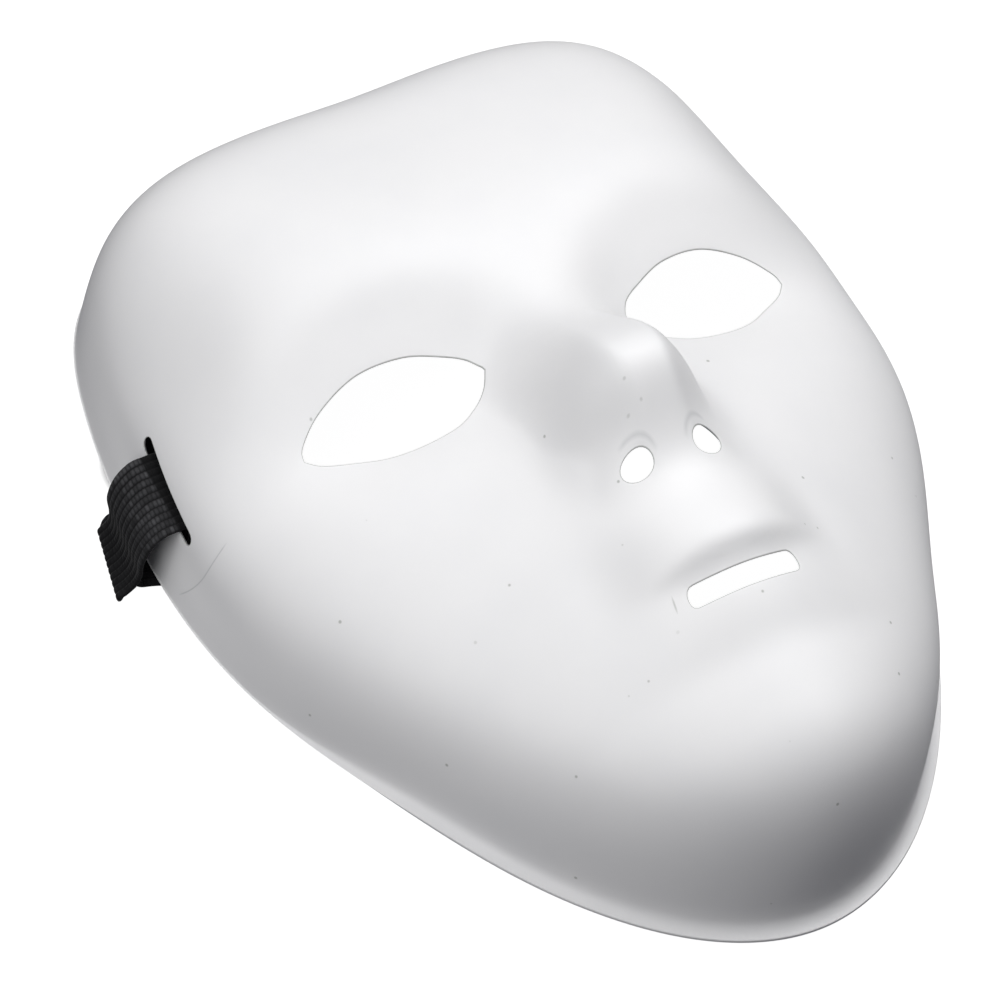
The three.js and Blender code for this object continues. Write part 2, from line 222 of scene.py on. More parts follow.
class CutPlane(Enum):
    """The two coordinates in which the outline of an opening is drawn."""

    UPRIGHT = (0, 1)
    SIDEWAYS = (1, 2)


@dataclass(frozen=True)
class Opening:
    """One opening, with its outline in millimetres in the plane it is cut in."""

    name: str
    outline: Array
    plane: CutPlane
    paired: bool = True


@dataclass
class FaceForm:
    """Shape of the moulded sheet, as a surface over a flat disc.

    A place on the disc is a pair of numbers whose angle is the angle round the face and whose
    distance from zero is the share of the way out: front_part is where the front ends, 1 is the
    foot of the wall, and lip_end is the edge of the small lip turned out below it.
    """

    sheet: float = 1.0
    centre_y: float = 8.0
    front_part: float = 0.5
    front_share: float = 0.72
    lip_end: float = 1.04
    wall_exponent: float = 3.65
    lip_width: float = 3.2
    lip_least: float = 0.4
    lip_starts: float = 10.0
    lip_full: float = 50.0
    foot_starts: float = 0.97
    feature_fade: float = 0.6
    nose_edge_softness: float = 1.0
    upper_lip: Crease = Crease(-57.2, 0.0035, 2.4, 2.7, 20.5)
    upper_lip_reach: float = 14.0
    chin_fold: Crease = Crease(-77, 0.001, -0.6, 5.5, 33)
    temple_depth: float = 2.2
    temple_elevation: float = 18.0
    temple_spread: float = 28.0
    temple_wall: float = 0.31
    temple_reach: float = 0.25
    temple_share: float = 0.88
    rim_outline: Spline = spline_of(
        (
            (-90, 124), (-68, 110.5), (-45, 92.5), (-22, 86.5), (0, 88),
            (22, 94), (40, 105), (55, 114.5), (70, 110), (90, 103.5),
        ),
        level_ends=True,
    )
    shoulder: Spline = spline_of(
        ((-90, 2.75), (-45, 2.65), (0, 3.2), (45, 2.3), (90, 1.7)), level_ends=True
    )
    front_profile: Spline = spline_of(
        (
            (-110, 68), (-80, 59.5), (-50, 55), (-20, 56.5),
            (15, 61.5), (50, 67.5), (85, 67), (115, 74),
        )
    )
    side_fall: Spline = spline_of(((-80, 0.06), (0, 0.2), (80, 0.13)))
    nose_rows: Rows = (
        (-50.2, 0, 3.5, 11.5),
        (-41.2, 0, 3.5, 11.5),
        (-32.2, 3.1, 4.5, 15.4),
        (-23.2, 12.5, 4.4, 12.5),
        (-13.2, 22.8, 4, 16.5),
        (-1.2, 20.6, 5, 17),
        (13.8, 7.9, 2.9, 22),
        (29.8, 0.5, 2.5, 16.6),
        (43.8, 0, 4, 13.5),
        (55.8, 0, 4, 13.5),
    )
    swellings: tuple[Swelling, ...] = (
        Swelling(14.9, -15.7, 5.6, 12.2, 4.9),
        Swelling(40.3, 18, 38.5, 18, -10.7),
        Swelling(18.6, 14.7, 9.7, 12.4, -3.2),
        Swelling(26, -49.5, 7.5, 13, -1.5),
        Swelling(80, 54, 15, 27.5, -7.4),
        Swelling(41, 36.8, 22, 7, -1, arch=0.011),
        Swelling(0, 20.8, 24.2, 19.3, 3, paired=False),
        Swelling(0, -51.7, 29.8, 30.5, 17, paired=False),
        Swelling(0, -102.5, 40.5, 19, 5, paired=False),
    )

    def nose(self, x: Array, y: Array) -> Array:
        """Height of the nose.

        Args:
            x: Places across the face.
            y: Places along the face.

        Returns:
            Its height along the middle, which falls smoothly over its flank past its crest.
        """
        height, crest, flank = (spline_of(self.nose_rows, column).at(y) for column in (1, 2, 3))
        side = np.hypot(x, self.nose_edge_softness)
        return height * (1 - smoothstep(side, crest, crest + flank))

    def height(self, x: Array, y: Array, wall: Array) -> Array:
        """Height of the outer face above the rim plane.

        Args:
            x: Places across the face.
            y: Places along the face.
            wall: 1 on the front and 0 at the foot of the wall.

        Returns:
            Front profile less the side fall times x squared, scaled by the wall, plus the
            features, which fade out on the way down the wall.
        """
        front = self.front_profile.at(y) - self.side_fall.at(y) * (x / 10) ** 2
        features = self.nose(x, y) + self.upper_lip.step(x, y, self.upper_lip_reach)
        features = features + self.chin_fold.fold(x, y)
        features = features + sum(swelling.over(x, y) for swelling in self.swellings)
        return front * wall + features * smoothstep(wall, 0, self.feature_fade)

    def lip_at(self, elevation: Array) -> Array:
        """Width of the lip at the foot of the wall, widest round the chin."""
        share = smoothstep(-elevation, self.lip_starts, self.lip_full)
        return self.lip_least + (self.lip_width - self.lip_least) * share

    def lip_share(self, lip: Array) -> Array:
        """Share of the way from the least width of the lip to the full one."""
        return (lip - self.lip_least) / (self.lip_width - self.lip_least)

    def temple_recess(self, elevation: Array, wall: Array) -> Array:
        """How far the wall is drawn in round a temple slot: a bell of angle times one of height."""
        around = bell((elevation - self.temple_elevation) / self.temple_spread)
        return self.temple_depth * around * bell((wall - self.temple_wall) / self.temple_reach)

    def bearings(self, spot: Array) -> tuple[Array, Array, Array]:
        """Where places on the disc lie round the middle of the face.

        Args:
            spot: Places on the disc, two numbers each.

        Returns:
            The share of the way out, the angle in radians, and the angle's height above the
            level line in degrees, which is the same on both sides.
        """
        angle = np.arctan2(spot[..., 1], spot[..., 0])
        elevation = np.degrees(np.arcsin(np.clip(np.sin(angle), -1, 1)))
        return np.hypot(spot[..., 0], spot[..., 1]), angle, elevation

    def outer(self, spot: Array) -> Array:
        """Points of the outer skin.

        Args:
            spot: Places on the disc, two numbers each.

        Returns:
            Points in millimetres above the rim plane. The wall is a superellipse of height over
            radius: the radius is the reach times a power of the sine of a turn, less the temple
            recess, and the height share is a power of its cosine. The lip turns out by a
            quarter of a circle.
        """
        share, angle, elevation = self.bearings(spot)
        lip = self.lip_at(elevation)
        rise = lip + self.sheet * lip / self.lip_width
        reach = self.rim_outline.at(elevation) - lip
        exponent = self.shoulder.at(elevation)
        foot_front = self.front_profile.at(self.centre_y + reach * np.sin(angle))
        foot_turn = np.arccos((rise / foot_front) ** (self.wall_exponent / 2))
        front = np.minimum(share / self.front_part, 1) * self.front_share
        front_turn = np.arcsin(front ** (exponent / 2))
        down = np.clip((share - self.front_part) / (1 - self.front_part), 0, 1)
        turn = front_turn + (foot_turn - front_turn) * down
        wall = np.cos(turn) ** (2 / self.wall_exponent)
        recess = self.temple_recess(elevation, wall) * np.sin(turn)
        radius = reach * np.sin(turn) ** (2 / exponent) - recess
        x = radius * np.cos(angle)
        y = self.centre_y + radius * np.sin(angle)
        z = self.height(x, y, wall)
        quarter = np.clip((share - 1) / (self.lip_end - 1), 0, 1) * math.pi / 2
        outward = lip * (1 - np.cos(quarter))
        edge = self.sheet * self.lip_share(lip)
        z = z - (z - edge) * np.sin(quarter) * (share > 1)
        return np.stack([x + outward * np.cos(angle), y + outward * np.sin(angle), z], -1)

    def normals(self, spot: Array) -> Array:
        """Outward directions of the skin.

        Args:
            spot: Places on the disc.

        Returns:
            Cross products of the skin's two slopes over the disc, at a length of 1.
        """
        step = 2e-4
        aside, ahead = np.array([step, 0]), np.array([0, step])
        across = self.outer(spot + aside) - self.outer(spot - aside)
        along = self.outer(spot + ahead) - self.outer(spot - ahead)
        return unit(np.cross(across, along))

    def skin(self, spot: Array, depth: float) -> Array:
        """Points a depth below the outer skin.

        Args:
            spot: Places on the disc.
            depth: Distance inward in millimetres, 0 on the outer skin.

        Returns:
            Outer points moved inward along the normal. Where there is no lip, the foot of the
            wall moves level instead, so that the sheet ends in a flat edge.
        """
        points = self.outer(spot)
        if depth == 0:
            return points
        share, angle, elevation = self.bearings(spot)
        lip_share = self.lip_share(self.lip_at(elevation))
        level = (smoothstep(share, self.foot_starts, 1.0) * (1 - lip_share))[..., None]
        outward = np.stack([np.cos(angle), np.sin(angle), np.zeros_like(angle)], -1)
        direction = unit(self.normals(spot) * (1 - level) + outward * level)
        moved = points - depth * direction
        moved[..., 2] = np.maximum(moved[..., 2], 0)
        return moved

    def first_guess(self, targets: Array, plane: CutPlane) -> Array:
        """Rough places on the disc for an outline, from which the search starts.

        Args:
            targets: Wanted pairs of coordinates.
            plane: Which two coordinates they are.

        Returns:
            The middle of the temple for a sideways outline. Otherwise the offset from the
            middle of the face over the reach of the rim that way.
        """
        if plane is CutPlane.SIDEWAYS:
            angle = math.radians(self.temple_elevation)
            start = self.temple_share * np.array([math.cos(angle), math.sin(angle)])
            return np.tile(start, (len(targets), 1))
        offset = targets - np.array([0, self.centre_y])
        elevation = np.degrees(np.arctan2(offset[:, 1], np.abs(offset[:, 0])))
        reach = (self.rim_outline.at(elevation) - self.lip_at(elevation))[:, None]
        return offset / reach * self.front_part / self.front_share

    def places_of(self, targets: Array, plane: CutPlane, depth: float) -> Array:
        """Places on the disc where the skin has the wanted two coordinates.

        Args:
            targets: Wanted pairs of coordinates.
            plane: Which two coordinates they are.
            depth: Depth of the skin.

        Returns:
            Places found by Newton's method: each step divides the miss by the two slopes.
        """
        axes = list(plane.value)
        spot = self.first_guess(targets, plane)
        step, rounds, longest_move, allowed_miss = 1e-5, 14, 0.04, 0.01
        for _ in range(rounds):
            here = self.skin(spot, depth)[:, axes]
            aside = (self.skin(spot + np.array([step, 0]), depth)[:, axes] - here) / step
            ahead = (self.skin(spot + np.array([0, step]), depth)[:, axes] - here) / step
            miss = targets - here
            det = aside[:, 0] * ahead[:, 1] - aside[:, 1] * ahead[:, 0]
            move_aside = (miss[:, 0] * ahead[:, 1] - miss[:, 1] * ahead[:, 0]) / det
            move_ahead = (aside[:, 0] * miss[:, 1] - aside[:, 1] * miss[:, 0]) / det
            move = np.stack([move_aside, move_ahead], -1)
            spot = spot + np.clip(move, -longest_move, longest_move)
        worst = float(np.abs(self.skin(spot, depth)[:, axes] - targets).max())
        if worst > allowed_miss:
            raise ValueError(f"an outline misses the skin by {worst:.3f} mm")
        return spot


def catmull_rom(points: Array, steps: int) -> Array:
    """Even Catmull-Rom curve through points, whose end points count twice.

    Args:
        points: Points it passes through.
        steps: Steps in each span.

    Returns:
        Points of the curve: in each span, half the sum of the four usual cubic terms.
    """
    padded = np.vstack([points[:1], points, points[-1:]])
    share = np.linspace(0, 1, steps, endpoint=False)[None, :, None]
    before, first, second, after = (padded[k : len(padded) - 3 + k, None, :] for k in range(4))
    slope_in, slope_out = (second - before) / 2, (after - first) / 2
    cubic = 2 * first - 2 * second + slope_in + slope_out
    square = -3 * first + 3 * second - 2 * slope_in - slope_out
    curve = cubic * share**3 + square * share**2 + slope_in * share + first
    return np.vstack([curve.reshape(-1, points.shape[1]), points[-1:]])


def leaning(start: Array, control: Array, end: Array, share: float | Array) -> Array:
    """Points of curves that run from start to end and lean to a control point.

    Args:
        start: First point, or a row of them.
        control: Point that pulls the curve, or a row of them.
        end: Last point, or a row of them.
        share: How far along the curve the points lie.

    Returns:
        Squares of the share weight the ends and twice the product weights the control.
    """
    return (1 - share) ** 2 * start + 2 * share * (1 - share) * control + share**2 * end


def spread_evenly(outline: Array, spacing: float) -> Array:
    """Closed outline read again at points about a spacing apart.

    Args:
        outline: Points of the closed outline.
        spacing: Wanted distance between points.

    Returns:
        Points read at even distances along the outline.
    """
    closed = np.vstack([outline, outline[:1]])
    along = np.concatenate([[0], np.cumsum(np.linalg.norm(np.diff(closed, axis=0), axis=1))])
    count = max(int(along[-1] / spacing), 12)
    places = np.linspace(0, along[-1], count, endpoint=False)
    return np.stack([np.interp(places, along, closed[:, axis]) for axis in (0, 1)], -1)


def grown(outline: Array, distance: float) -> Array:
    """Closed anticlockwise outline moved outward by a distance along its own normals."""
    tangent = unit(np.roll(outline, -1, axis=0) - np.roll(outline, 1, axis=0))
    return outline + distance * np.stack([tangent[:, 1], -tangent[:, 0]], -1)


def signed_area(outline: Array) -> float:
    """Area of a closed outline, above zero if it runs anticlockwise."""
    ahead = np.roll(outline, -1, axis=0)
    return float(np.sum(outline[:, 0] * ahead[:, 1] - outline[:, 1] * ahead[:, 0]) / 2)


def inside(points: Array, outline: Array) -> Array:
    """Whether each point is inside a closed outline.

    Args:
        points: Points to test.
        outline: Points of the closed outline.

    Returns:
        True where a level ray to the right crosses an odd number of the outline's sides.
    """
    ahead = np.roll(outline, -1, axis=0)
    x, y = points[:, :1], points[:, 1:]
    rise = np.where(ahead[:, 1] == outline[:, 1], 1e-12, ahead[:, 1] - outline[:, 1])
    spans = (outline[:, 1] > y) != (ahead[:, 1] > y)
    crossing = outline[:, 0] + (y - outline[:, 1]) / rise * (ahead[:, 0] - outline[:, 0])
    return (np.sum(spans & (x < crossing), axis=1) % 2).astype(bool)


@dataclass
class MaskOpenings:
    """Outlines of the openings, for the side of positive X, in millimetres."""

    eye_top: Rows = (
        (61.8, 18), (60.7, 21), (54.6, 25.5), (44.6, 28.4), (34, 27.3), (25.4, 23.7), (20.8, 20.9),
        (18.3, 17),
    )
    eye_bottom: Rows = (
        (18.3, 17), (20.7, 13), (24.8, 9.6), (30.8, 6.6), (39, 6.4), (46.5, 8.1), (53, 11.5),
        (58.9, 14.9), (61.8, 18),
    )
    nostril_middle: tuple[float, float] = (8.9, -29.4)
    nostril_radii: tuple[float, float] = (3.6, 3.1)
    mouth_half_length: float = 13.8
    mouth_bottom: float = -64.6
    mouth_top: float = -59.7
    mouth_corner: float = 1.9
    mouth_bow: float = -1.3
    slot_middle: tuple[float, float] = (35.8, 19.9)
    slot_length: float = 27.6
    slot_width: float = 3.4
    slot_tilt: float = 8.0
    eye_spacing: float = 0.9
    slot_spacing: float = 0.8
    span_steps: int = 12
    nostril_points: int = 28
    bow_steps: int = 24
    slot_end_points: int = 12

    def eye(self) -> Opening:
        """Almond opening.

        Returns:
            One smooth curve over the top and one under the bottom.
        """
        top = catmull_rom(np.array(self.eye_top, float), self.span_steps)
        bottom = catmull_rom(np.array(self.eye_bottom, float), self.span_steps)
        outline = np.vstack([top[:-1], bottom[:-1]])
        return Opening("eye", spread_evenly(outline, self.eye_spacing), CutPlane.UPRIGHT)

    def nostril(self) -> Opening:
        """Small round opening.

        Returns:
            Ellipse round its middle.
        """
        turn = np.linspace(0, 2 * math.pi, self.nostril_points, endpoint=False)
        circle = np.stack([np.cos(turn), np.sin(turn)], -1)
        outline = np.array(self.nostril_middle) + circle * np.array(self.nostril_radii)
        return Opening("nostril", outline, CutPlane.UPRIGHT)

    def mouth(self) -> Opening:
        """Slot between the lips.

        Returns:
            Six leaning curves: two bowed long sides and four rounded corners.
        """
        half, corner = self.mouth_half_length, self.mouth_corner
        low, high, bow = self.mouth_bottom, self.mouth_top, self.mouth_bow
        corners = np.array(
            [
                (-half + corner, low), (0, low + bow), (half - corner, low), (half, low),
                (half, low + corner), (half, high), (half - corner, high), (0, high + bow),
                (-half + corner, high), (-half, high), (-half, low + corner), (-half, low),
                (-half + corner, low),
            ]
        )
        share = np.linspace(0, 1, self.bow_steps, endpoint=False)[:, None]
        curves = [leaning(*corners[k : k + 3], share) for k in range(0, len(corners) - 1, 2)]
        outline = spread_evenly(np.vstack(curves), self.slot_spacing)
        return Opening("mouth", outline, CutPlane.UPRIGHT, paired=False)

    def strap_slot(self) -> Opening:
        """Long slot for the band, tilted so that its forehead end is higher.

        Returns:
            Two half circles joined by straight sides.
        """
        radius = self.slot_width / 2
        half = self.slot_length / 2 - radius
        turn = np.linspace(-math.pi / 2, math.pi / 2, self.slot_end_points)
        end = radius * np.stack([np.cos(turn), np.sin(turn)], -1) + np.array([half, 0])
        tilt = math.radians(self.slot_tilt)
        spin = np.array([[math.cos(tilt), math.sin(tilt)], [-math.sin(tilt), math.cos(tilt)]])
        outline = np.vstack([end, -end]) @ spin + np.array(self.slot_middle)
        outline = spread_evenly(outline, self.slot_spacing)
        return Opening("strap slot", outline, CutPlane.SIDEWAYS)

    def all(self) -> list[Opening]:
        """Every opening, each once, the paired ones on the side of positive X."""
        return [self.eye(), self.nostril(), self.strap_slot(), self.mouth()]


@dataclass
class Patch:
    """One skin of the sheet: its points, its triangles and the loops along its edges."""

    points: Array
    triangles: Array
    loops: list[Array]


class Surface:
    """Collects points, faces and, where it has them, shares and a UV map, for one mesh."""

    def __init__(self) -> None:
        """Start with nothing."""
        self.points: list[Array] = []
        self.faces: list[Array] = []
        self.shares: list[Array] = []
        self.uvs: list[Array] = []
        self.count = 0

    def add(self, points: Array, share: float | Array = 0.0) -> int:
        """Add points and return the number of the first.

        Args:
            points: Points in millimetres.
            share: Value of the mesh's attribute at each of them.

        Returns:
            Number of the first point.
        """
        first = self.count
        self.points.append(points)
        self.shares.append(np.broadcast_to(np.asarray(share, float), (len(points),)))
        self.count += len(points)
        return first

    def strip(self, near: Array, far: Array, closed: bool = True) -> None:
        """Join two rows of point numbers with faces.

        Args:
            near: Numbers of the first row.
            far: Numbers of the second row.
            closed: Whether the rows run round and meet themselves.
        """
        near_on, far_on = np.roll(near, -1), np.roll(far, -1)
        quads = np.stack([near, near_on, far_on, far], -1)
        self.faces.append(quads if closed else quads[:-1])

    def tube(self, rings: Array) -> Array:
        """Add a tube through rings of points.

        Args:
            rings: Rings of as many points each, anticlockwise as seen from the last ring.

        Returns:
            Numbers of the points, a row for each ring.
        """
        count, sides = rings.shape[:2]
        numbers = self.add(rings.reshape(-1, 3)) + np.arange(count * sides).reshape(-1, sides)
        here, beyond = numbers[:-1], numbers[1:]
        here_on, beyond_on = np.roll(here, -1, axis=1), np.roll(beyond, -1, axis=1)
        self.faces.append(np.stack([here, here_on, beyond_on, beyond], -1).reshape(-1, 4))
        return numbers

    def build(self, name: str, rise: float, attribute: str = "") -> bpy.types.Object:
        """Make the object.

        Args:
            name: Name of the object and its mesh.
            rise: Move up in millimetres from the shape's own height to the part's.
            attribute: Name of the attribute that holds the shares, if there is one.

        Returns:
            The object, at the origin, with smooth faces.
        """
        mesh = bpy.data.meshes.new(name)
        points = (np.vstack(self.points) + np.array([0, BOX_SHIFT_Y, rise])) * MILLIMETRE
        mesh.from_pydata(points, [], [row for block in self.faces for row in block.tolist()])
        if attribute:
            values = np.concatenate(self.shares).astype(np.float32)
            mesh.attributes.new(attribute, "FLOAT", "POINT").data.foreach_set("value", values)
        if self.uvs:
            corners = np.empty(len(mesh.loops), np.int32)
            mesh.loops.foreach_get("vertex_index", corners)
            places = np.vstack(self.uvs)[corners].astype(np.float32)
            mesh.uv_layers.new(name="UVMap").uv.foreach_set("vector", places.ravel())
        mesh.polygons.foreach_set("use_smooth", np.ones(len(mesh.polygons), bool))
        mesh.update()
        mesh.validate()
        thing = bpy.data.objects.new(name, mesh)
        bpy.context.scene.collection.objects.link(thing)
        LOG.info("%s: %d points, %d faces", name, len(mesh.vertices), len(mesh.polygons))
        return thing


@dataclass
class MaskShell:
    """The moulded sheet, trimmed round its rim and with its openings cut."""

    form: FaceForm
    openings: MaskOpenings
    outer_rings: int = 116
    outer_most: int = 540
    inner_rings: int = 56
    inner_most: int = 270
    rim_count: int = 540
    edge_round: float = 0.28
    edge_round_limit: float = 0.4
    cut_edge_height: float = 0.34
    cut_edge_limit: float = 0.8
    underside_chamfer: float = 1.0
    ring_clearance: float = 0.4
    hole_clearance: float = 0.55
    last_ring: float = 1.038
    opening_grey: float = 1.0
    rim_grey: float = 0.05

    def edge_rows(self, corner: Array, lower: Array, near: Array, far: Array) -> list[Array]:
        """Rows across a trimmed edge, from the outer skin to the inner one.

        Args:
            corner: Outer corner of the edge.
            lower: Lower corner of the edge.
            near: Row on the outer skin where the rounding starts.
            far: Row on the inner skin where the rounding ends.

        Returns:
            Rows between near and far: each rounding is a curve that leans to its corner.
        """
        drop = lower - corner
        length = np.linalg.norm(drop, axis=-1, keepdims=True)
        radius = np.minimum(self.edge_round, self.edge_round_limit * length)
        radius = radius / np.maximum(length, 1e-9)
        upper_end, lower_end = corner + drop * radius, lower - drop * radius
        rows = [leaning(near, corner, upper_end, share) for share in (1 / 3, 2 / 3, 1)]
        return rows + [leaning(lower_end, lower, far, share) for share in (0, 1 / 2)]

    def opening_loops(self, opening: Opening, mirror: bool) -> tuple[Array, Array, list[Array]]:
        """Edges of one opening.

        Args:
            opening: The opening.
            mirror: Whether to make it on the side of negative X.

        Returns:
            Its places on the disc for the outer skin and for the inner skin, and the rows of
            points across its cut edge, all anticlockwise as seen from outside.
        """
        form, outline, plane = self.form, opening.outline, opening.plane
        if signed_area(outline) < 0:
            outline = outline[::-1]
        outer = form.places_of(grown(outline, self.edge_round), plane, 0)
        edge = form.places_of(outline, plane, 0)
        inner = form.places_of(grown(outline, self.underside_chamfer), plane, form.sheet)
        below = form.places_of(outline, plane, form.sheet)
        corner, bottom = form.skin(edge, 0), form.skin(below, form.sheet)
        thickness = np.linalg.norm(bottom - corner, axis=-1, keepdims=True)
        cut_share = np.minimum(self.cut_edge_height / thickness, self.cut_edge_limit)
        lower = corner + (bottom - corner) * cut_share
        near, far = form.skin(outer, 0), form.skin(inner, form.sheet)
        rows = self.edge_rows(corner, lower, near, far)
        if mirror:
            outer, inner = outer * np.array([-1, 1]), inner * np.array([-1, 1])
            rows = [row * np.array([-1, 1, 1]) for row in rows]
        if signed_area(outer) < 0:
            outer, inner, rows = outer[::-1], inner[::-1], [row[::-1] for row in rows]
        return outer, inner, rows

    def rim_ring(self, share: float) -> Array:
        """Places on the disc along a ring at one share of the way out."""
        angle = np.linspace(0, 2 * math.pi, self.rim_count, endpoint=False)
        return share * np.stack([np.cos(angle), np.sin(angle)], -1)

    def disc_places(self, rings: int, most: int, last: float) -> Array:
        """Even places over the disc: rings whose number of points grows up to a limit.

        Args:
            rings: Number of rings out to the foot of the wall.
            most: Most points in a ring.
            last: Share of the way out where the edge ring lies.

        Returns:
            Places inside the edge ring.
        """
        shares = np.arange(1, int(rings * last) + 1) / rings
        shares = shares[shares < last - self.ring_clearance / rings]
        counts = np.minimum(6 * np.arange(1, len(shares) + 1), most)
        ring = np.repeat(np.arange(len(shares)), counts)
        first = np.concatenate([[0], np.cumsum(counts)[:-1]])
        place = np.arange(len(ring)) - first[ring]
        angle = (place + 0.5 * (ring % 2)) * 2 * math.pi / counts[ring]
        around = shares[ring][:, None] * np.stack([np.cos(angle), np.sin(angle)], -1)
        return np.vstack([[[0.0, 0.0]], around])

    def patch(self, holes: list[Array], depth: float, rings: int, most: int) -> Patch:
        """Triangles of one skin with its holes left out.

        Args:
            holes: Places on the disc round each hole.
            depth: Depth of the skin.
            rings: Number of rings of points out to the foot of the wall.
            most: Most points in a ring.

        Returns:
            The skin. Its triangles join the places on the disc so that every hole's outline is
            made of their sides, and those inside a hole are left out.
        """
        fill = self.disc_places(rings, most, self.last_ring)
        for hole in holes:
            near = np.hypot(*(fill[:, None] - hole[None]).transpose(2, 0, 1)).min(axis=1)
            fill = fill[(near > self.hole_clearance / rings) & ~inside(fill, hole)]
        outlines = [*holes, self.rim_ring(self.last_ring)]
        starts = np.cumsum([0, *(len(outline) for outline in outlines)])
        loops = [np.arange(a, b) for a, b in zip(starts[:-1], starts[1:])]
        places = np.vstack([*outlines, fill])
        sides = np.vstack([np.stack([loop, np.roll(loop, -1)], -1) for loop in loops])
        found = delaunay_2d_cdt(places.tolist(), sides.tolist(), [], 0, 1e-9, False)
        if len(found[0]) != len(places):
            raise ValueError("the skin's places aren't all apart")
        triangles = np.array(found[2])
        middles = places[triangles].mean(axis=1)
        kept = np.ones(len(triangles), bool)
        for hole in holes:
            kept &= ~inside(middles, hole)
        return Patch(self.form.skin(places, depth), triangles[kept], loops)

    def build(self) -> bpy.types.Object:
        """Build the sheet.

        Returns:
            Two skins joined round the rim and round every opening.
        """
        outer_holes, inner_holes, edges = [], [], []
        for opening in self.openings.all():
            LOG.info("cutting the %s, %d points round it", opening.name, len(opening.outline))
            for mirror in (False, True) if opening.paired else (False,):
                outer, inner, rows = self.opening_loops(opening, mirror)
                outer_holes.append(outer)
                inner_holes.append(inner)
                edges.append(rows)
        outer = self.patch(outer_holes, 0, self.outer_rings, self.outer_most)
        inner = self.patch(inner_holes, self.form.sheet, self.inner_rings, self.inner_most)
        form, surface = self.form, Surface()
        first_outer = surface.add(outer.points)
        first_inner = surface.add(inner.points)
        surface.faces.append(outer.triangles + first_outer)
        surface.faces.append(inner.triangles[:, ::-1] + first_inner)
        for rows, top, under in zip(edges, outer.loops, inner.loops):
            self.join(surface, rows, top + first_outer, under + first_inner, self.opening_grey)
        end = self.rim_ring(form.lip_end)
        corner, lower = form.skin(end, 0), form.skin(end, form.sheet)
        near, far = outer.points[outer.loops[-1]], inner.points[inner.loops[-1]]
        rows = [row[::-1] for row in self.edge_rows(corner, lower, near, far)]
        top, under = outer.loops[-1] + first_outer, inner.loops[-1] + first_inner
        self.join(surface, rows, top[::-1], under[::-1], self.rim_grey)
        return surface.build("moulded_shell", RIM_HEIGHT, "cut_edge")

    def join(
        self, surface: Surface, rows: list[Array], top: Array, under: Array, grey: float
    ) -> None:
        """Join the two skins with the rows across a trimmed edge.

        Args:
            surface: Where the faces go.
            rows: Rows of points across the edge, with the sheet on their right hand.
            top: Point numbers along the outer skin.
            under: Point numbers along the inner skin.
            grey: How much greyer than the sheet the edge is.
        """
        numbers = [top]
        for row in rows:
            numbers.append(surface.add(row, grey) + np.arange(len(row)))
        numbers.append(under)
        for near, far in zip(numbers[:-1], numbers[1:]):
            surface.strip(near, far)


@dataclass
class RibbonPath:
    """Centre line of the band with the directions of its width and its thickness."""

    points: Array
    across: Array
    up: Array

    @property
    def distance(self) -> Array:
        """Distance in millimetres along the centre line to each station."""
        steps = np.linalg.norm(np.diff(self.points, axis=0), axis=1)
        return np.concatenate([[0], np.cumsum(steps)])


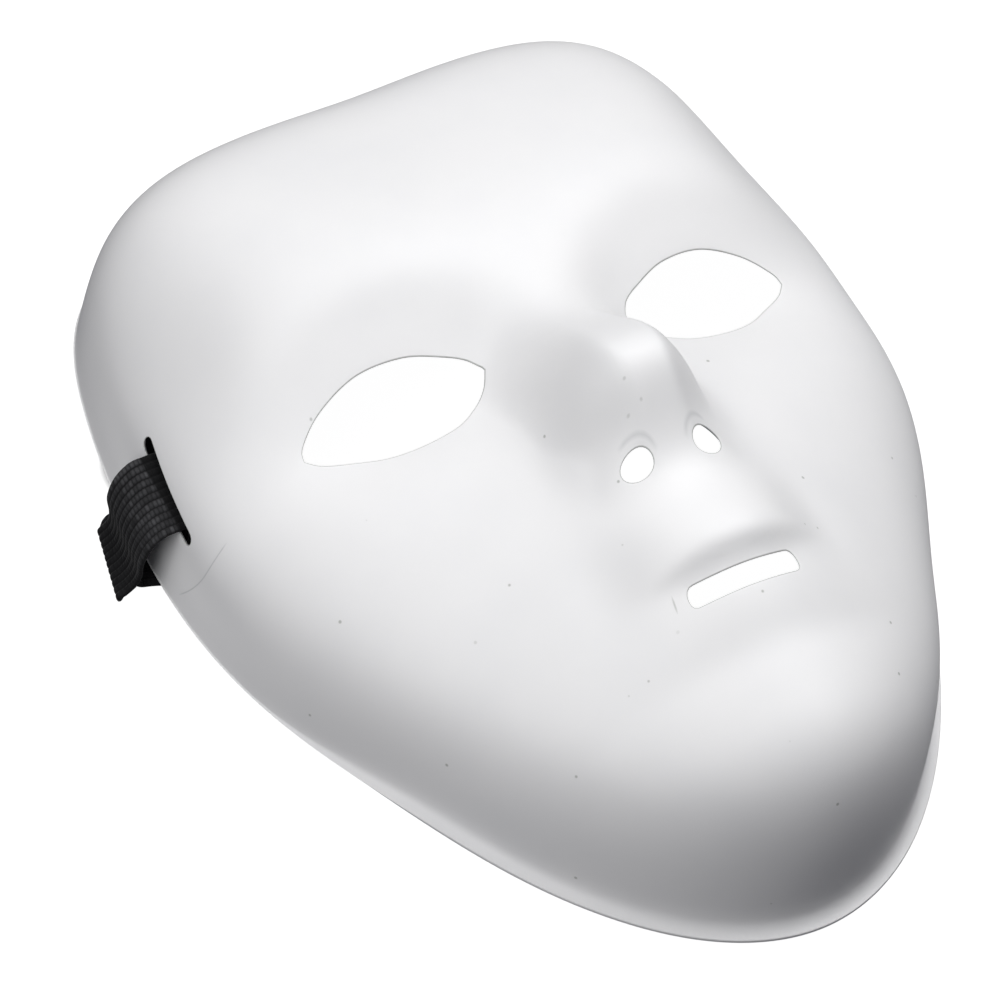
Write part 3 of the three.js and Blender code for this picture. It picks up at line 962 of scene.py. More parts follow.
@dataclass
class ElasticBand:
    """Flat ribbed elastic that runs under the mask, out under the rim at each side, up to the
    temple slot, through it and back down inside, where its end is sewn to the run.

    Each row of a route is X, Y, Z, the turn of the width away from Y in degrees and the tilt of
    the width out of the level.
    """

    width: float = 20.0
    thickness: float = 1.1
    ribs: int = 11
    groove: float = 0.2
    points_per_rib: int = 6
    steps: int = 8
    floor_layer: float = 0.55
    second_layer: float = 1.95
    slot_foot: float = 20.45
    middle: tuple[float, ...] = (-18, 24.9, 0.55, 0, 0)
    rib_inset: float = 0.14
    rib_power: float = 0.6
    thread_radius: float = 0.2
    thread_sides: int = 8
    thread_steps: int = 6
    thread_tip: float = 0.3
    sewn_from_end: float = 2.5
    sewn_length: float = 3.0
    sewn_crossings: int = 19
    sewn_margin: float = 1.2
    sewn_crown: float = 0.2
    sewn_depth: float = 0.06
    millimetres_in_uv: float = 10.0

    def loose_route(self) -> list[tuple[float, ...]]:
        """Route to the sewn end where the loop stands off the wall.

        Returns:
            Its rows, from beside the middle to the end.
        """
        low, second, foot = self.floor_layer, self.second_layer, self.slot_foot
        return [
            (-42, 26.2, low, 3, 0), (-60, 28.6, low, 7, 0), (-76, 32.4, low, 11, 0),
            (-87, 36.4, low, 13, 0), (-89.5, 37.1, low + 0.1, 13, 0),
            (-91, 37.2, low + 1.2, 13, 0), (-92.5, 37, 2.9, 14, 0), (-93.9, 36.4, 2.6, 14, 0),
            (-94.9, 35.8, 1.6, 15, 0), (-95.6, 35.3, 1, 16, 0), (-96, 35.2, 1.55, 16, 0),
            (-95.6, 35.1, 2.4, 16, 0), (-94.9, 35, 3.05, 15, 0), (-93.8, 35, 4.15, 14, 0),
            (-93.1, 35, 5.5, 12, 0), (-92.8, 35.1, 8, 9, 0), (-93.3, 35.4, 12.6, 6, 2),
            (-91.7, 35.8, 17.6, 4.5, 5), (-88.6, 36, 20.4, 4.5, 8),
            (-85.4, 36, foot + 0.3, 4.5, 8), (-81.9, 36, foot, 4.5, 8),
            (-80.8, 35.9, 18.6, 4.5, 7), (-81.2, 35.2, 14, 4.5, 3), (-81.8, 33.6, 8, 5, 0),
            (-81, 32.6, 4, 10, 0), (-77.6, 32, second + 0.3, 11, 0), (-71, 30.6, second, 10, 0),
            (-56, 28, second, 7, 0),
        ]

    def tight_route(self) -> list[tuple[float, ...]]:
        """Route to the sewn end where the loop is drawn against the wall.

        Returns:
            Its rows, from beside the middle to the end.
        """
        low, second, foot = self.floor_layer, self.second_layer, self.slot_foot
        return [
            (5, 25.3, low, 0, 0), (26, 27.2, low, 0, 0), (40, 27.6, low, 0, 0),
            (51, 26.5, low, 1, 0), (60, 24.8, low, 0, 0), (70, 24.2, low, -4, 0),
            (79, 26, low, -8, 0), (87, 29.9, low, -8, 0), (90, 32, low, -6, 0),
            (93.2, 33, low, -4.5, 0), (94.7, 33.3, low + 0.1, -4.5, 0),
            (95.4, 33.4, low + 0.75, -4.5, 0), (94.7, 33.5, low + 1.45, -4.5, 0),
            (92.6, 33.7, 2.4, -4.5, 0), (90.4, 34, 3.4, -4.5, 0), (89, 34.2, 5.2, -4.5, 0),
            (88.4, 34.4, 7.4, -4.5, 0), (87.1, 34.9, 11, -4.5, 2), (86.1, 35.5, 14.6, -4.5, 5),
            (85.7, 35.9, 17.4, -4.5, 8), (85.1, 36, foot - 0.7, -4.5, 8),
            (83.6, 36, foot + 0.15, -4.5, 8), (81.9, 36, foot - 0.3, -4.5, 8),
            (81.1, 35.9, 18, -4.5, 7), (81.4, 34.6, 14, -4.5, 3), (83.2, 30.8, 8, -5, 0),
            (83, 28, 4, -6, 0), (80.6, 26.2, second + 0.3, -8, 0), (76, 24.6, second, -7, 0),
            (66, 22.8, second, -3, 0),
        ]

    def path(self) -> RibbonPath:
        """Centre line of the whole band.

        Returns:
            A Catmull-Rom curve whose spans are weighted by the square root of their length,
            with the turn and tilt of the width going evenly from row to row.
        """
        rows = np.array([*self.loose_route()[::-1], self.middle, *self.tight_route()], float)
        places = rows[:, :3]
        padded = np.vstack([2 * places[:1] - places[1:2], places, 2 * places[-1:] - places[-2:-1]])
        weights = np.sqrt(np.linalg.norm(np.diff(padded, axis=0), axis=1))[:, None]
        before, here, after = weights[:-2], weights[1:-1], weights[2:]
        p0, p1, p2, p3 = (padded[k : len(padded) - 3 + k] for k in range(4))
        slope_in = (p1 - p0) / before - (p2 - p0) / (before + here) + (p2 - p1) / here
        slope_out = (p2 - p1) / here - (p3 - p1) / (here + after) + (p3 - p2) / after
        slope_in, slope_out = slope_in * here, slope_out * here
        stations = np.arange((len(rows) - 1) * self.steps + 1) / self.steps
        span = np.minimum(stations.astype(int), len(rows) - 2)
        share = (stations - span)[:, None]
        cubic = (2 * p1 - 2 * p2 + slope_in + slope_out)[span]
        square = (-3 * p1 + 3 * p2 - 2 * slope_in - slope_out)[span]
        points = ((cubic * share + square) * share + slope_in[span]) * share + p1[span]
        along = unit((3 * cubic * share + 2 * square) * share + slope_in[span])
        angles = np.radians(rows[span, 3:] * (1 - share) + rows[span + 1, 3:] * share)
        turn, tilt = angles[:, 0], angles[:, 1]
        across = unit(np.stack([np.sin(turn), np.cos(turn), np.sin(tilt)], -1))
        return RibbonPath(points, across, unit(np.cross(along, across)))

    def section(self) -> Array:
        """Closed outline of the band cut across: its ribs are powers of a sine on both faces.

        Returns:
            Pairs of a distance across and a height, anticlockwise from the near edge on top.
        """
        share = np.linspace(0, 1, self.ribs * self.points_per_rib + 1)
        across = (0.5 - share) * (self.width - 2 * self.rib_inset)
        rib = np.abs(np.sin(math.pi * self.ribs * share)) ** self.rib_power
        high = self.thickness / 2 - self.groove * (1 - rib)
        top = np.stack([across, high], -1)
        edge = np.array([[self.width / 2, 0.0]])
        return np.vstack([top, -edge, -top, edge])

    def build(self) -> bpy.types.Object:
        """Build the band.

        Returns:
            Its cut outline carried along the centre line and closed at both ends.
        """
        path, section = self.path(), self.section()
        sides = len(section)
        offset = section[:, :1] * path.across[:, None] + section[:, 1:] * path.up[:, None]
        points = path.points[:, None] + offset
        points[..., 2] = np.maximum(points[..., 2], 0)
        surface = Surface()
        numbers = surface.tube(points)
        distance = np.repeat(path.distance[:, None], sides, axis=1)
        across = np.broadcast_to(section[:, 0], distance.shape)
        places = np.stack([distance, across], -1).reshape(-1, 2)
        surface.uvs.append(places / self.millimetres_in_uv)
        for ring, station, reverse in ((numbers[0], 0, True), (numbers[-1], -1, False)):
            middle = surface.add(points[station].mean(axis=0)[None])
            surface.uvs.append(np.array([[distance[station, 0] / self.millimetres_in_uv, 0]]))
            ends = np.stack([np.full(sides, middle), ring, np.roll(ring, -1)], -1)
            surface.faces.append(ends[:, ::-1] if reverse else ends)
        LOG.info("the band is %.0f mm long along its centre line", path.distance[-1])
        return surface.build("ribbed_band", 0)

    def stitches(self) -> bpy.types.Object:
        """Zigzag of thread that sews each end of the band down.

        Returns:
            Round sections carried along a line that crosses the width in even steps. Between
            two turns it stands up by the root of 1 less the fourth power of its place there.
        """
        path, surface = self.path(), Surface()
        share = np.linspace(0, 1, self.sewn_crossings * self.thread_steps + 1)
        wave = np.abs((share * self.sewn_crossings) % 2 - 1)
        place = self.sewn_from_end + self.sewn_length * wave
        across = (share - 0.5) * (self.width - 2 * self.sewn_margin)
        crown = self.sewn_crown * np.sqrt(np.clip(1 - (2 * wave - 1) ** 4, 0, 1))
        lift = self.thickness / 2 - self.sewn_depth + crown
        for along in (place, path.distance[-1] - place):
            centre, side, up = (
                np.stack([np.interp(along, path.distance, axis[:, k]) for k in range(3)], -1)
                for axis in (path.points, path.across, path.up)
            )
            points = centre + side * across[:, None] + up * lift[:, None]
            self.thread_tube(surface, points, up)
        return surface.build("band_stitches", 0)

    def thread_tube(self, surface: Surface, points: Array, up: Array) -> None:
        """Add a round thread along a line, thinner at its two ends.

        Args:
            surface: Where it goes.
            points: Points of the line.
            up: Upward direction at each of them.
        """
        along = unit(np.gradient(points, axis=0))
        aside = unit(np.cross(along, up))
        above = np.cross(aside, along)
        turn = np.linspace(0, 2 * math.pi, self.thread_sides, endpoint=False)[::-1, None]
        radius = np.full((len(points), 1, 1), self.thread_radius)
        radius[[0, -1]] *= self.thread_tip
        ring = aside[:, None] * np.cos(turn) + above[:, None] * np.sin(turn)
        numbers = surface.tube(points[:, None] + radius * ring)
        surface.faces += [numbers[:1, ::-1], numbers[-1:]]


def operator(
    operation: str, flipped: bool = False
) -> Callable[["Value", "Value | float"], "Value"]:
    """Make the method of one Python operator.

    Args:
        operation: The Math node's operation.
        flipped: Whether the value comes after the other one.

    Returns:
        The method, which adds the node.
    """

    def method(value: "Value", other: "Value | float") -> "Value":
        """Result of the Math node on this value and another."""
        return value.math(operation, *((other, value) if flipped else (value, other)))

    return method


class Value:
    """A number that varies over a surface. Python arithmetic on it adds Math nodes."""

    __add__ = __radd__ = operator("ADD")
    __mul__ = __rmul__ = operator("MULTIPLY")
    __sub__ = operator("SUBTRACT")
    __rsub__ = operator("SUBTRACT", flipped=True)
    __truediv__ = operator("DIVIDE")
    __pow__ = operator("POWER")

    def __init__(self, graph: "Graph", socket: bpy.types.NodeSocket) -> None:
        """Wrap a socket of a graph."""
        self.graph = graph
        self.socket = socket

    def math(self, operation: str, *inputs: "Value | float") -> "Value":
        """Result of a Math node on numbers and values."""
        sockets = dict(enumerate(inputs))
        return self.graph.value("ShaderNodeMath", 0, {"operation": operation}, sockets)

    def __abs__(self) -> "Value":
        """Size without sign."""
        return self.math("ABSOLUTE", self)

    def floor(self) -> "Value":
        """Whole number at or below it."""
        return self.math("FLOOR", self)

    def wrapped(self) -> "Value":
        """What is left of it above the whole number below."""
        return self.math("FRACT", self)

    def clamped(self) -> "Value":
        """The value held between 0 and 1."""
        return self.math("MINIMUM", self.math("MAXIMUM", self, 0.0), 1.0)

    def lifted(self, least: float) -> "Value":
        """The value with the stretch from 0 to 1 squeezed into that from a least value to 1."""
        return least + (1 - least) * self


class Graph:
    """Nodes of one material."""

    def __init__(self, name: str) -> None:
        """Start a material with an empty graph.

        Args:
            name: Name of the material.
        """
        self.material = bpy.data.materials.new(name)
        self.material.use_nodes = True
        self.tree = self.material.node_tree
        self.tree.nodes.clear()

    def add(
        self, kind: str, settings: dict | None = None, sockets: dict | None = None
    ) -> bpy.types.Node:
        """Add a node.

        Args:
            kind: Type of the node.
            settings: Its settings, set before its sockets.
            sockets: Numbers, colours, values or sockets for its inputs, by name or number.

        Returns:
            The node.
        """
        node = self.tree.nodes.new(kind)
        for name, setting in (settings or {}).items():
            setattr(node, name, setting)
        for name, given in (sockets or {}).items():
            source = given.socket if isinstance(given, Value) else given
            if isinstance(source, bpy.types.NodeSocket):
                self.tree.links.new(source, node.inputs[name])
            else:
                node.inputs[name].default_value = source
        return node

    def value(
        self,
        kind: str,
        output: int | str,
        settings: dict | None = None,
        sockets: dict | None = None,
    ) -> Value:
        """Add a node and wrap one of its outputs.

        Args:
            kind: Type of the node.
            output: Which output, by name or number.
            settings: Its settings.
            sockets: Its inputs.

        Returns:
            The wrapped output.
        """
        return Value(self, self.add(kind, settings, sockets).outputs[output])

    def place_in_millimetres(self, origin: tuple[float, float, float]) -> bpy.types.NodeSocket:
        """Place on the piece in millimetres, counted from an origin.

        Args:
            origin: Where it is zero, in metres.

        Returns:
            The place.
        """
        place = self.add("ShaderNodeTexCoord").outputs["Object"]
        moved = self.vector("SUBTRACT", place, origin)
        return self.vector("MULTIPLY", moved, (1 / MILLIMETRE,) * 3)

    def vector(
        self, operation: str, place: bpy.types.NodeSocket, *others: tuple[float, float, float]
    ) -> bpy.types.NodeSocket:
        """Result of a Vector Math node on a place and, where it has one, another vector."""
        sockets = dict(enumerate((place, *others)))
        return self.add("ShaderNodeVectorMath", {"operation": operation}, sockets).outputs[0]

    def distance(self, place: bpy.types.NodeSocket, point: tuple[float, float, float]) -> Value:
        """Distance of a place from a point, in the same units."""
        sockets = {0: place, 1: point}
        return self.value("ShaderNodeVectorMath", "Value", {"operation": "DISTANCE"}, sockets)

    def parts(self, place: bpy.types.NodeSocket) -> list[Value]:
        """The three coordinates of a place."""
        node = self.add("ShaderNodeSeparateXYZ", None, {0: place})
        return [Value(self, part) for part in node.outputs]

    def noise(self, place: bpy.types.NodeSocket, size: float, detail: float = 2.0) -> Value:
        """Smooth noise between 0 and 1.

        Args:
            place: Where it is read, in millimetres.
            size: Size of its features in millimetres.
            detail: How many finer layers it has.

        Returns:
            The noise.
        """
        return self.value(
            "ShaderNodeTexNoise", 0, None, {"Vector": place, "Scale": 1 / size, "Detail": detail}
        )

    def blend(
        self, share: Value, low: bpy.types.NodeSocket | tuple, high: tuple
    ) -> bpy.types.NodeSocket:
        """Colour that goes from low to high with a share."""
        node = self.add("ShaderNodeMix", {"data_type": "RGBA"}, {0: share, 6: low, 7: high})
        return node.outputs[2]

    def bump(
        self,
        height: Value,
        distance: float,
        strength: float,
        below: bpy.types.NodeSocket | None = None,
    ) -> bpy.types.NodeSocket:
        """Normal bent by a height.

        Args:
            height: Height between 0 and 1.
            distance: Size of a height of 1, in metres.
            strength: How strongly it shows.
            below: Normal it is added to.

        Returns:
            The bent normal.
        """
        sockets = {"Height": height, "Distance": distance, "Strength": strength}
        if below is not None:
            sockets["Normal"] = below
        return self.add("ShaderNodeBump", None, sockets).outputs[0]

    def finish(self, constants: dict, varied: dict) -> bpy.types.Material:
        """End the graph in a Principled shader.

        Args:
            constants: Its sockets that are the same all over.
            varied: Its sockets that vary.

        Returns:
            The material.
        """
        shader = self.add("ShaderNodeBsdfPrincipled", None, {**constants, **varied})
        self.add("ShaderNodeOutputMaterial", None, {"Surface": shader.outputs[0]})
        return self.material


@dataclass(frozen=True)
class ThinLine:
    """Thin grey line on the sheet where a round bar through a point would meet it. Where it marks a
    crease, its grey is painted shade.

    The bar runs along the axis left out of its plane, and only the part of the line inside a
    ball shows. A paired line is measured with all coordinates taken without their signs.
    """

    plane: tuple[float, float, float]
    centre: tuple[float, float, float]
    radius: float
    width: float
    strength: float
    ball: tuple[float, float, float]
    ball_radius: float
    paired: bool = False

    def line(self, graph: Graph, place: bpy.types.NodeSocket) -> Value:
        """Strength of the line: 1 less the distance from the circle over its width.

        Args:
            graph: Graph of the material.
            place: Place on the piece in millimetres.

        Returns:
            The strength, fading out over the last two millimetres inside the ball.
        """
        if self.paired:
            place = graph.vector("ABSOLUTE", place)
        flat = graph.vector("MULTIPLY", place, self.plane)
        off = abs(graph.distance(flat, self.centre) - self.radius)
        shown = ((self.ball_radius - graph.distance(place, self.ball)) / 2).clamped()
        return (1 - off / self.width).clamped() * shown * self.strength


@dataclass(frozen=True)
class Mark:
    """Small long or round mark on the sheet, with its half length and half width."""

    middle: tuple[float, float, float]
    half_length: float
    half_width: float
    turn: float
    strength: float
    depth: float = 3.0

    def spot(self, graph: Graph, place: bpy.types.NodeSocket) -> Value:
        """Strength of the mark: 1 less the distance squared in its own stretched measure.

        Args:
            graph: Graph of the material.
            place: Place on the piece in millimetres.

        Returns:
            The strength, which is zero outside the mark.
        """
        sockets = {
            "Vector": place,
            "Location": self.middle,
            "Rotation": (0, 0, math.radians(self.turn)),
            "Scale": (self.half_width, self.half_length, self.depth),
        }
        own = graph.add("ShaderNodeMapping", {"vector_type": "TEXTURE"}, sockets).outputs[0]
        return (1 - graph.distance(own, (0, 0, 0)) ** 2).clamped() * self.strength


@dataclass(frozen=True)
class ShellPlastic:
    """Smooth white plastic sheet with a satin sheen, greyer where it is cut."""

    white: tuple[float, ...] = (0.867, 0.864, 0.865, 1)
    shaded_white: tuple[float, ...] = (0.84, 0.84, 0.845, 1)
    cut_grey: tuple[float, ...] = (0.4, 0.41, 0.39, 1)
    line_and_crease_shade_grey: tuple[float, ...] = (0.42, 0.43, 0.44, 1)
    mark_grey: tuple[float, ...] = (0.36, 0.37, 0.34, 1)
    roughness: float = 0.46
    cut_roughness: float = 0.15
    cloud_size: float = 24.0
    cloud_starts: float = 0.4
    cloud_contrast: float = 2.5
    sheen_size: float = 9.0
    sheen_change: float = 0.1
    ripple_size: float = 17.0
    ripple: float = 0.00008
    grain_size: float = 1.3
    grain: float = 0.00001
    cut_grain_size: float = 3.0
    cut_least: float = 0.55
    line_depth: float = 4.0
    speck_spacing: float = 8.5
    speck_size: float = 0.5
    speck_share: float = 0.9
    speck_top: float = 10.0
    speck_fade: float = 20.0
    speck_choice: float = 20.0
    speck_contrast: float = 2.0
    speck_strength: float = 0.7
    lines_and_creases: tuple[ThinLine, ...] = (
        # A thin grey line with a slight groove, on the wall near the temple slot on one side.
        ThinLine((0, 1, 1), (0, 47, 22.5), 33.3, 0.26, 0.5, (-85.5, 15, 15), 12.6),
        # A crease above each nostril: a slight groove, and grey that is painted shade.
        ThinLine((1, 1, 0), (8.9, 29.2, 0), 5.1, 0.8, 0.3, (7.4, 25.4, 72.3), 5.2, paired=True),
    )
    marks: tuple[Mark, ...] = (
        Mark((-16.7, -61.2, 61.2), 2.3, 0.26, -8, 0.55),
        Mark((-56.7, 25.3, 44.6), 0.5, 0.4, 0, 0.6),
        Mark((-18.6, -66.5, 58.8), 0.5, 0.5, 0, 0.2),
        Mark((-6.1, -15, 81.5), 0.45, 0.45, 0, 0.4),
        Mark((-4.1, -19.8, 78.7), 0.45, 0.45, 0, 0.35),
        Mark((-7.4, -20.8, 75.6), 0.45, 0.45, 0, 0.35),
    )

    def make(self) -> bpy.types.Material:
        """Make the material.

        Returns:
            The material: white in soft clouds, with the lines, whose grey is painted shade along
                the
            creases above the nostrils, the marks, the specks and the grey of the cut edges laid
            over it one after another.
        """
        graph = Graph("shell_white_plastic")
        place = graph.place_in_millimetres((0, BOX_SHIFT_Y * MILLIMETRE, RIM_HEIGHT * MILLIMETRE))
        cloud = (graph.noise(place, self.cloud_size, 3) - self.cloud_starts) * self.cloud_contrast
        colour = graph.blend(cloud.clamped(), self.white, self.shaded_white)
        # Painted shade: the grey of the crease lines above the nostrils.
        lines_and_crease_shade = sum(thin_line.line(graph, place) for thin_line in self.lines_and_creases)
        colour = graph.blend(lines_and_crease_shade, colour, self.line_and_crease_shade_grey)
        marks = sum(mark.spot(graph, place) for mark in self.marks)
        colour = graph.blend((marks + self.specks(graph, place)).clamped(), colour, self.mark_grey)
        cut = graph.value("ShaderNodeAttribute", "Fac", {"attribute_name": "cut_edge"})
        cut_share = cut * graph.noise(place, self.cut_grain_size).lifted(self.cut_least)
        colour = graph.blend(cut_share.clamped(), colour, self.cut_grey)
        sheen = self.sheen_change * (graph.noise(place, self.sheen_size, 3) - 0.5)
        roughness = self.roughness + sheen + self.cut_roughness * cut
        normal = graph.bump(graph.noise(place, self.ripple_size, 1), self.ripple, 1.0)
        grain = graph.noise(place, self.grain_size) - lines_and_crease_shade * self.line_depth
        normal = graph.bump(grain, self.grain, 1.0, normal)
        varied = {"Base Color": colour, "Roughness": roughness, "Normal": normal}
        return graph.finish({"IOR": 1.5, "Specular IOR Level": 0.45}, varied)

    def specks(self, graph: Graph, place: bpy.types.NodeSocket) -> Value:
        """Scattered faint specks: the middles of some cells of a scattered pattern.

        Args:
            graph: Graph of the material.
            place: Place on the piece in millimetres.

        Returns:
            Strength of the specks. Each cell's own random number says whether it has one, and
            the higher up the face, the fewer cells do.
        """
        sockets = {"Vector": place, "Scale": 1 / self.speck_spacing}
        cells = graph.add("ShaderNodeTexVoronoi", None, sockets).outputs
        chance = graph.value("ShaderNodeSeparateColor", 0, None, {0: cells["Color"]})
        up_face = graph.parts(place)[1]
        share = ((self.speck_top - up_face) / self.speck_fade).clamped() * self.speck_share
        chosen = ((share - chance) * self.speck_choice).clamped()
        near = 1 - Value(graph, cells["Distance"]) * (self.speck_spacing / self.speck_size)
        return (near * self.speck_contrast).clamped() * chosen * self.speck_strength


@dataclass(frozen=True)
class BandElastic:
    """Black woven elastic: ribs of short stitches along the band, lighter on their crests.

    The crests are light outside the wall and up by the slot. Inside the wall and low down they
    are dark, which stands in for part of the shade there.
    """

    black: tuple[float, ...] = (0.003, 0.003, 0.0035, 1)
    crest_grey: tuple[float, ...] = (0.064, 0.064, 0.068, 1)
    stitch_length: float = 0.95
    crest_power: float = 2.5
    stitch_power: float = 2.0
    stitch_least: float = 0.35
    chance_least: float = 0.45
    chance_change: float = 0.9
    patch_least: float = 0.5
    fuzz_least: float = 0.6
    fuzz_change: float = 0.8
    brightness: float = 0.8
    roughness: float = 0.85
    roughness_change: float = 0.12
    wall_outside: float = 85.4
    shade_foot: float = 5.0
    shade_top: float = 20.0
    shade_least: float = 0.12
    fuzz_size: float = 0.45
    patch_size: float = 5.0
    rib_bump: float = 0.00018
    stitch_bump_least: float = 0.4
    fuzz_bump: float = 0.4

    def make(self, band: ElasticBand) -> bpy.types.Material:
        """Make the material.

        Args:
            band: The band, whose rib width the pattern follows.

        Returns:
            The material, which reads the band's own UV map: the distances along and across.
        """
        graph = Graph("band_black_elastic")
        uv = graph.add("ShaderNodeUVMap", {"uv_map": "UVMap"}).outputs[0]
        along, across = (part * band.millimetres_in_uv for part in graph.parts(uv)[:2])
        rib = (across / band.width + 0.5) * band.ribs
        crest = 1 - abs(rib.wrapped() * 2 - 1) ** self.crest_power
        phase = along / self.stitch_length + rib.floor() * 0.5
        stitch = 1 - abs(phase.wrapped() * 2 - 1) ** self.stitch_power
        numbers = {0: phase.floor(), 1: rib.floor()}
        cell = graph.add("ShaderNodeCombineXYZ", None, numbers).outputs[0]
        chance = graph.value(
            "ShaderNodeTexWhiteNoise", "Value", {"noise_dimensions": "3D"}, {"Vector": cell}
        )
        place = graph.place_in_millimetres((0, 0, 0))
        fuzz = graph.noise(place, self.fuzz_size)
        patch = graph.noise(place, self.patch_size)
        x, _, z = graph.parts(place)
        outside = ((abs(x) - self.wall_outside) * 2).clamped()
        raised = ((z - self.shade_foot) / (self.shade_top - self.shade_foot)).clamped() ** 2
        light = crest * stitch.lifted(self.stitch_least)
        light = light * (self.chance_least + self.chance_change * chance)
        light = light * (self.patch_least + patch) * outside * raised.lifted(self.shade_least)
        light = light * (self.fuzz_least + self.fuzz_change * fuzz) * self.brightness
        colour = graph.blend(light.clamped(), self.black, self.crest_grey)
        roughness = self.roughness + self.roughness_change * (fuzz - 0.5)
        relief = crest * stitch.lifted(self.stitch_bump_least) + fuzz * self.fuzz_bump
        normal = graph.bump(relief, self.rib_bump, 0.9)
        varied = {"Base Color": colour, "Roughness": roughness, "Normal": normal}
        constants = {"IOR": 1.45, "Specular IOR Level": 0.2, "Sheen Weight": 0.08}
        return graph.finish(constants, varied)


@dataclass(frozen=True)
class SewingThread:
    """Black twisted thread."""

    dark: tuple[float, ...] = (0.006, 0.006, 0.007, 1)
    light: tuple[float, ...] = (0.03, 0.03, 0.033, 1)
    roughness: float = 0.6
    twist_scale: float = 1.6
    twist_bump: float = 0.00006

    def make(self) -> bpy.types.Material:
        """Make the material.

        Returns:
            The material, whose twist is a wave across the piece.
        """
        graph = Graph("stitch_black_thread")
        place = graph.place_in_millimetres((0, 0, 0))
        sockets = {"Vector": place, "Scale": self.twist_scale, "Distortion": 1.0}
        twist = graph.value("ShaderNodeTexWave", "Fac", {"bands_direction": "DIAGONAL"}, sockets)
        colour = graph.blend(twist, self.dark, self.light)
        normal = graph.bump(twist, self.twist_bump, 0.8)
        return graph.finish({"Roughness": self.roughness}, {"Base Color": colour, "Normal": normal})


@dataclass(frozen=True)
class StudioFloor:
    """Plain near-white table, which glows so that it stays pale under the mask.

    A round patch of it is dark, which stands in for the deep shade in the hollow beside the slot.
    """

    white: tuple[float, ...] = (0.2, 0.2, 0.2, 1)
    glow: float = 0.98
    roughness: float = 0.9
    cloud_size: float = 60.0
    cloud_share: float = 0.97
    half_side: float = 12.0
    squares: int = 8
    gap_below: float = 0.00005
    shade_middle: tuple[float, float, float] = (-72, 57.5, 0)
    shade_radius: float = 10.5
    shade_edge: float = 3.0

    def finish(self) -> bpy.types.Material:
        """Make the finish of the table.

        Returns:
            The material: white in soft clouds, with a glow, and black without one in the patch.
        """
        graph = Graph("table_white")
        place = graph.place_in_millimetres((0, 0, 0))
        beyond = graph.distance(place, self.shade_middle) - self.shade_radius
        lit = (beyond / self.shade_edge).clamped()
        greyer = tuple(self.cloud_share * part for part in self.white)
        cloud = graph.blend(graph.noise(place, self.cloud_size), self.white, greyer)
        colour = graph.blend(1 - lit, cloud, (0, 0, 0, 1))
        glow = graph.blend(lit, (0, 0, 0, 1), (1, 1, 1, 1))
        constants = {"Roughness": self.roughness, "Emission Strength": self.glow}
        return graph.finish(constants, {"Base Color": colour, "Emission Color": glow})

    def build(self) -> None:
        """Build the table top as a flat grid of squares, which diffuse and glossy rays pass by."""
        row = self.squares + 1
        x, y = np.meshgrid(*[np.linspace(-self.half_side, self.half_side, row)] * 2)
        points = np.stack([x.ravel(), y.ravel(), np.full(x.size, -self.gap_below)], -1)
        corner = (np.arange(self.squares)[:, None] * row + np.arange(self.squares)).ravel()
        faces = np.stack([corner, corner + 1, corner + row + 1, corner + row], -1)
        mesh = bpy.data.meshes.new("table_top")
        mesh.from_pydata(points, [], faces.tolist())
        mesh.materials.append(self.finish())
        thing = bpy.data.objects.new("table_top", mesh)
        bpy.context.scene.collection.objects.link(thing)
        thing.visible_diffuse = False
        thing.visible_glossy = False


@dataclass(frozen=True)
class SoftPanel:
    """Square lamp that faces the middle of the mask."""

    name: str
    azimuth: float
    elevation: float
    distance: float
    side: float
    power: float

    def build(self, target: Vector) -> None:
        """Place the lamp: azimuth 0 is the side of the chin and 90 the side of positive X.

        Args:
            target: Where it is aimed.
        """
        azimuth, elevation = math.radians(self.azimuth), math.radians(self.elevation)
        level = math.cos(elevation)
        towards = Vector(
            (math.sin(azimuth) * level, -math.cos(azimuth) * level, math.sin(elevation))
        )
        lamp = bpy.data.lights.new(self.name, "AREA")
        lamp.shape, lamp.size = "SQUARE", self.side
        lamp.energy = self.power
        thing = bpy.data.objects.new(self.name, lamp)
        thing.location = target + towards * self.distance
        thing.rotation_euler = towards.to_track_quat("Z", "Y").to_euler()
        bpy.context.scene.collection.objects.link(thing)


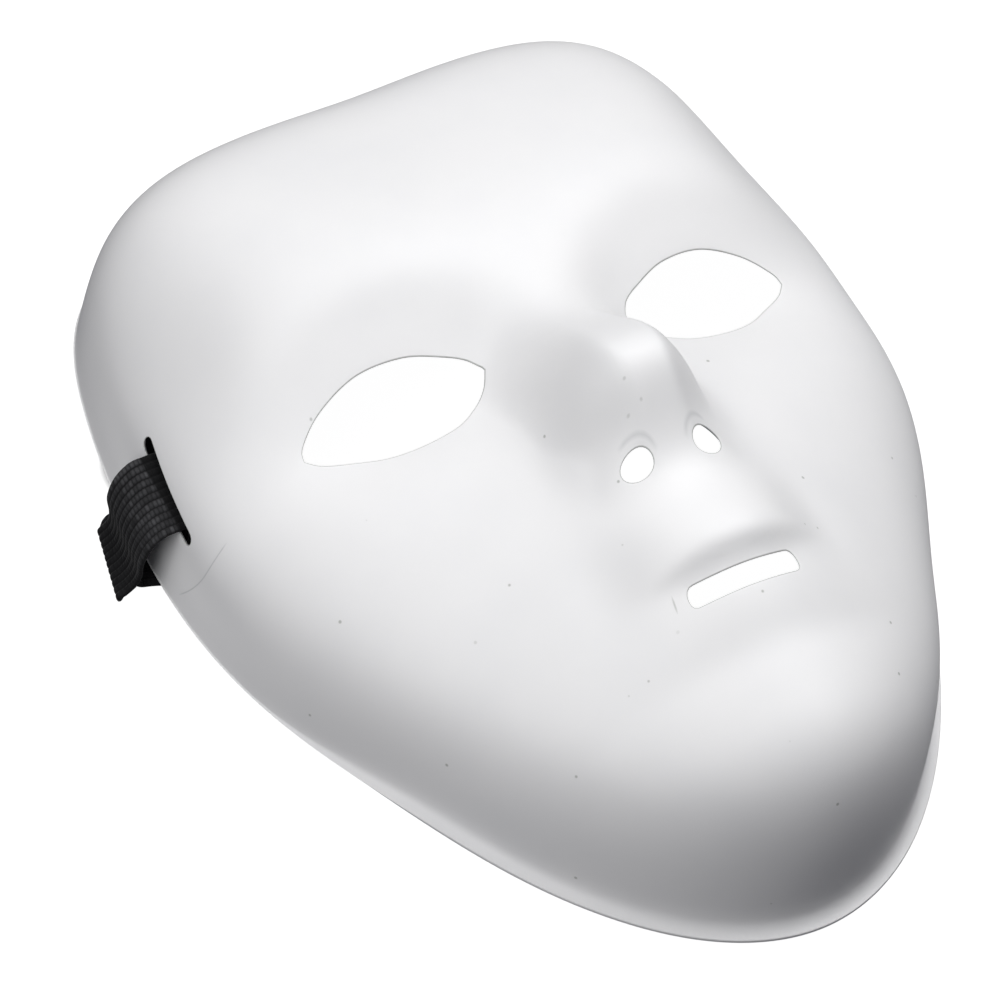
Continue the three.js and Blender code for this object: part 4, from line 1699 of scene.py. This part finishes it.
@dataclass(frozen=True)
class Viewpoint:
    """Camera of the picture: two of its directions, its distance and where the mask sits in it."""

    right: tuple[float, float, float] = (0.85567, -0.49626, 0.14684)
    back: tuple[float, float, float] = (-0.40498, -0.46541, 0.78701)
    distance: float = 3211.0
    aside: float = -12.93
    above: float = 9.29
    lens: float = 517.8

    def build(self) -> None:
        """Make the scene's camera."""
        back, right = Vector(self.back).normalized(), Vector(self.right)
        up = back.cross(right).normalized()
        right = up.cross(back)
        origin = Vector((0, BOX_SHIFT_Y, RIM_HEIGHT))
        place = origin + right * self.aside + up * self.above + back * self.distance
        camera = bpy.data.cameras.new("picture_camera")
        camera.lens, camera.sensor_width = self.lens, 36.0
        camera.clip_start, camera.clip_end = 0.1, 100.0
        thing = bpy.data.objects.new("picture_camera", camera)
        turn = Matrix((right, up, back)).transposed().to_4x4()
        thing.matrix_world = Matrix.Translation(place * MILLIMETRE) @ turn
        bpy.context.scene.collection.objects.link(thing)
        bpy.context.scene.camera = thing


@dataclass
class Studio:
    """Camera, table, lamps and the pale surroundings."""

    room_colour: tuple[float, ...] = (0.86, 0.87, 1, 1)
    room_strength: float = 0.081
    aimed_at: tuple[float, float, float] = (0, 0, 0.03)
    lamps: tuple[SoftPanel, ...] = (
        SoftPanel("forehead_panel", 180, 58, 1.4, 1.3, 5.5),
        SoftPanel("far_side_panel", 96, 57, 1.4, 1.3, 13.7),
        SoftPanel("near_side_panel", 268, 56, 1.4, 1.3, 5.6),
        SoftPanel("near_chin_panel", 285, 30, 1.4, 1.0, 6.8),
        SoftPanel("far_low_panel", 120, 18, 1.4, 1.0, 1.5),
    )

    def build(self) -> None:
        """Build everything round the part."""
        Viewpoint().build()
        StudioFloor().build()
        for lamp in self.lamps:
            lamp.build(Vector(self.aimed_at))
        world = bpy.data.worlds.new("pale_room")
        world.use_nodes = True
        background = world.node_tree.nodes["Background"].inputs
        background["Color"].default_value = self.room_colour
        background["Strength"].default_value = self.room_strength
        bpy.context.scene.world = world
        bpy.context.scene.view_settings.view_transform = "Standard"
        bpy.context.scene.view_settings.look = "None"


def dress(piece: bpy.types.Object, material: bpy.types.Material) -> None:
    """Give a piece its material and its slot, and let it ride on the part.

    Args:
        piece: The piece.
        material: Its finish.
    """
    piece.data.materials.append(material)
    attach(piece, "root")


def main() -> None:
    """Build the studio, then the shell, then the band."""
    logging.basicConfig(level=logging.INFO, format="%(message)s")
    Studio().build()
    shell = MaskShell(FaceForm(), MaskOpenings()).build()
    dress(shell, ShellPlastic().make())
    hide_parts("mask_shell")
    band = ElasticBand()
    ribbon = band.build()
    dress(ribbon, BandElastic().make(band))
    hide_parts("elastic_band")
    dress(band.stitches(), SewingThread().make())


if __name__ == "__main__":
    main()
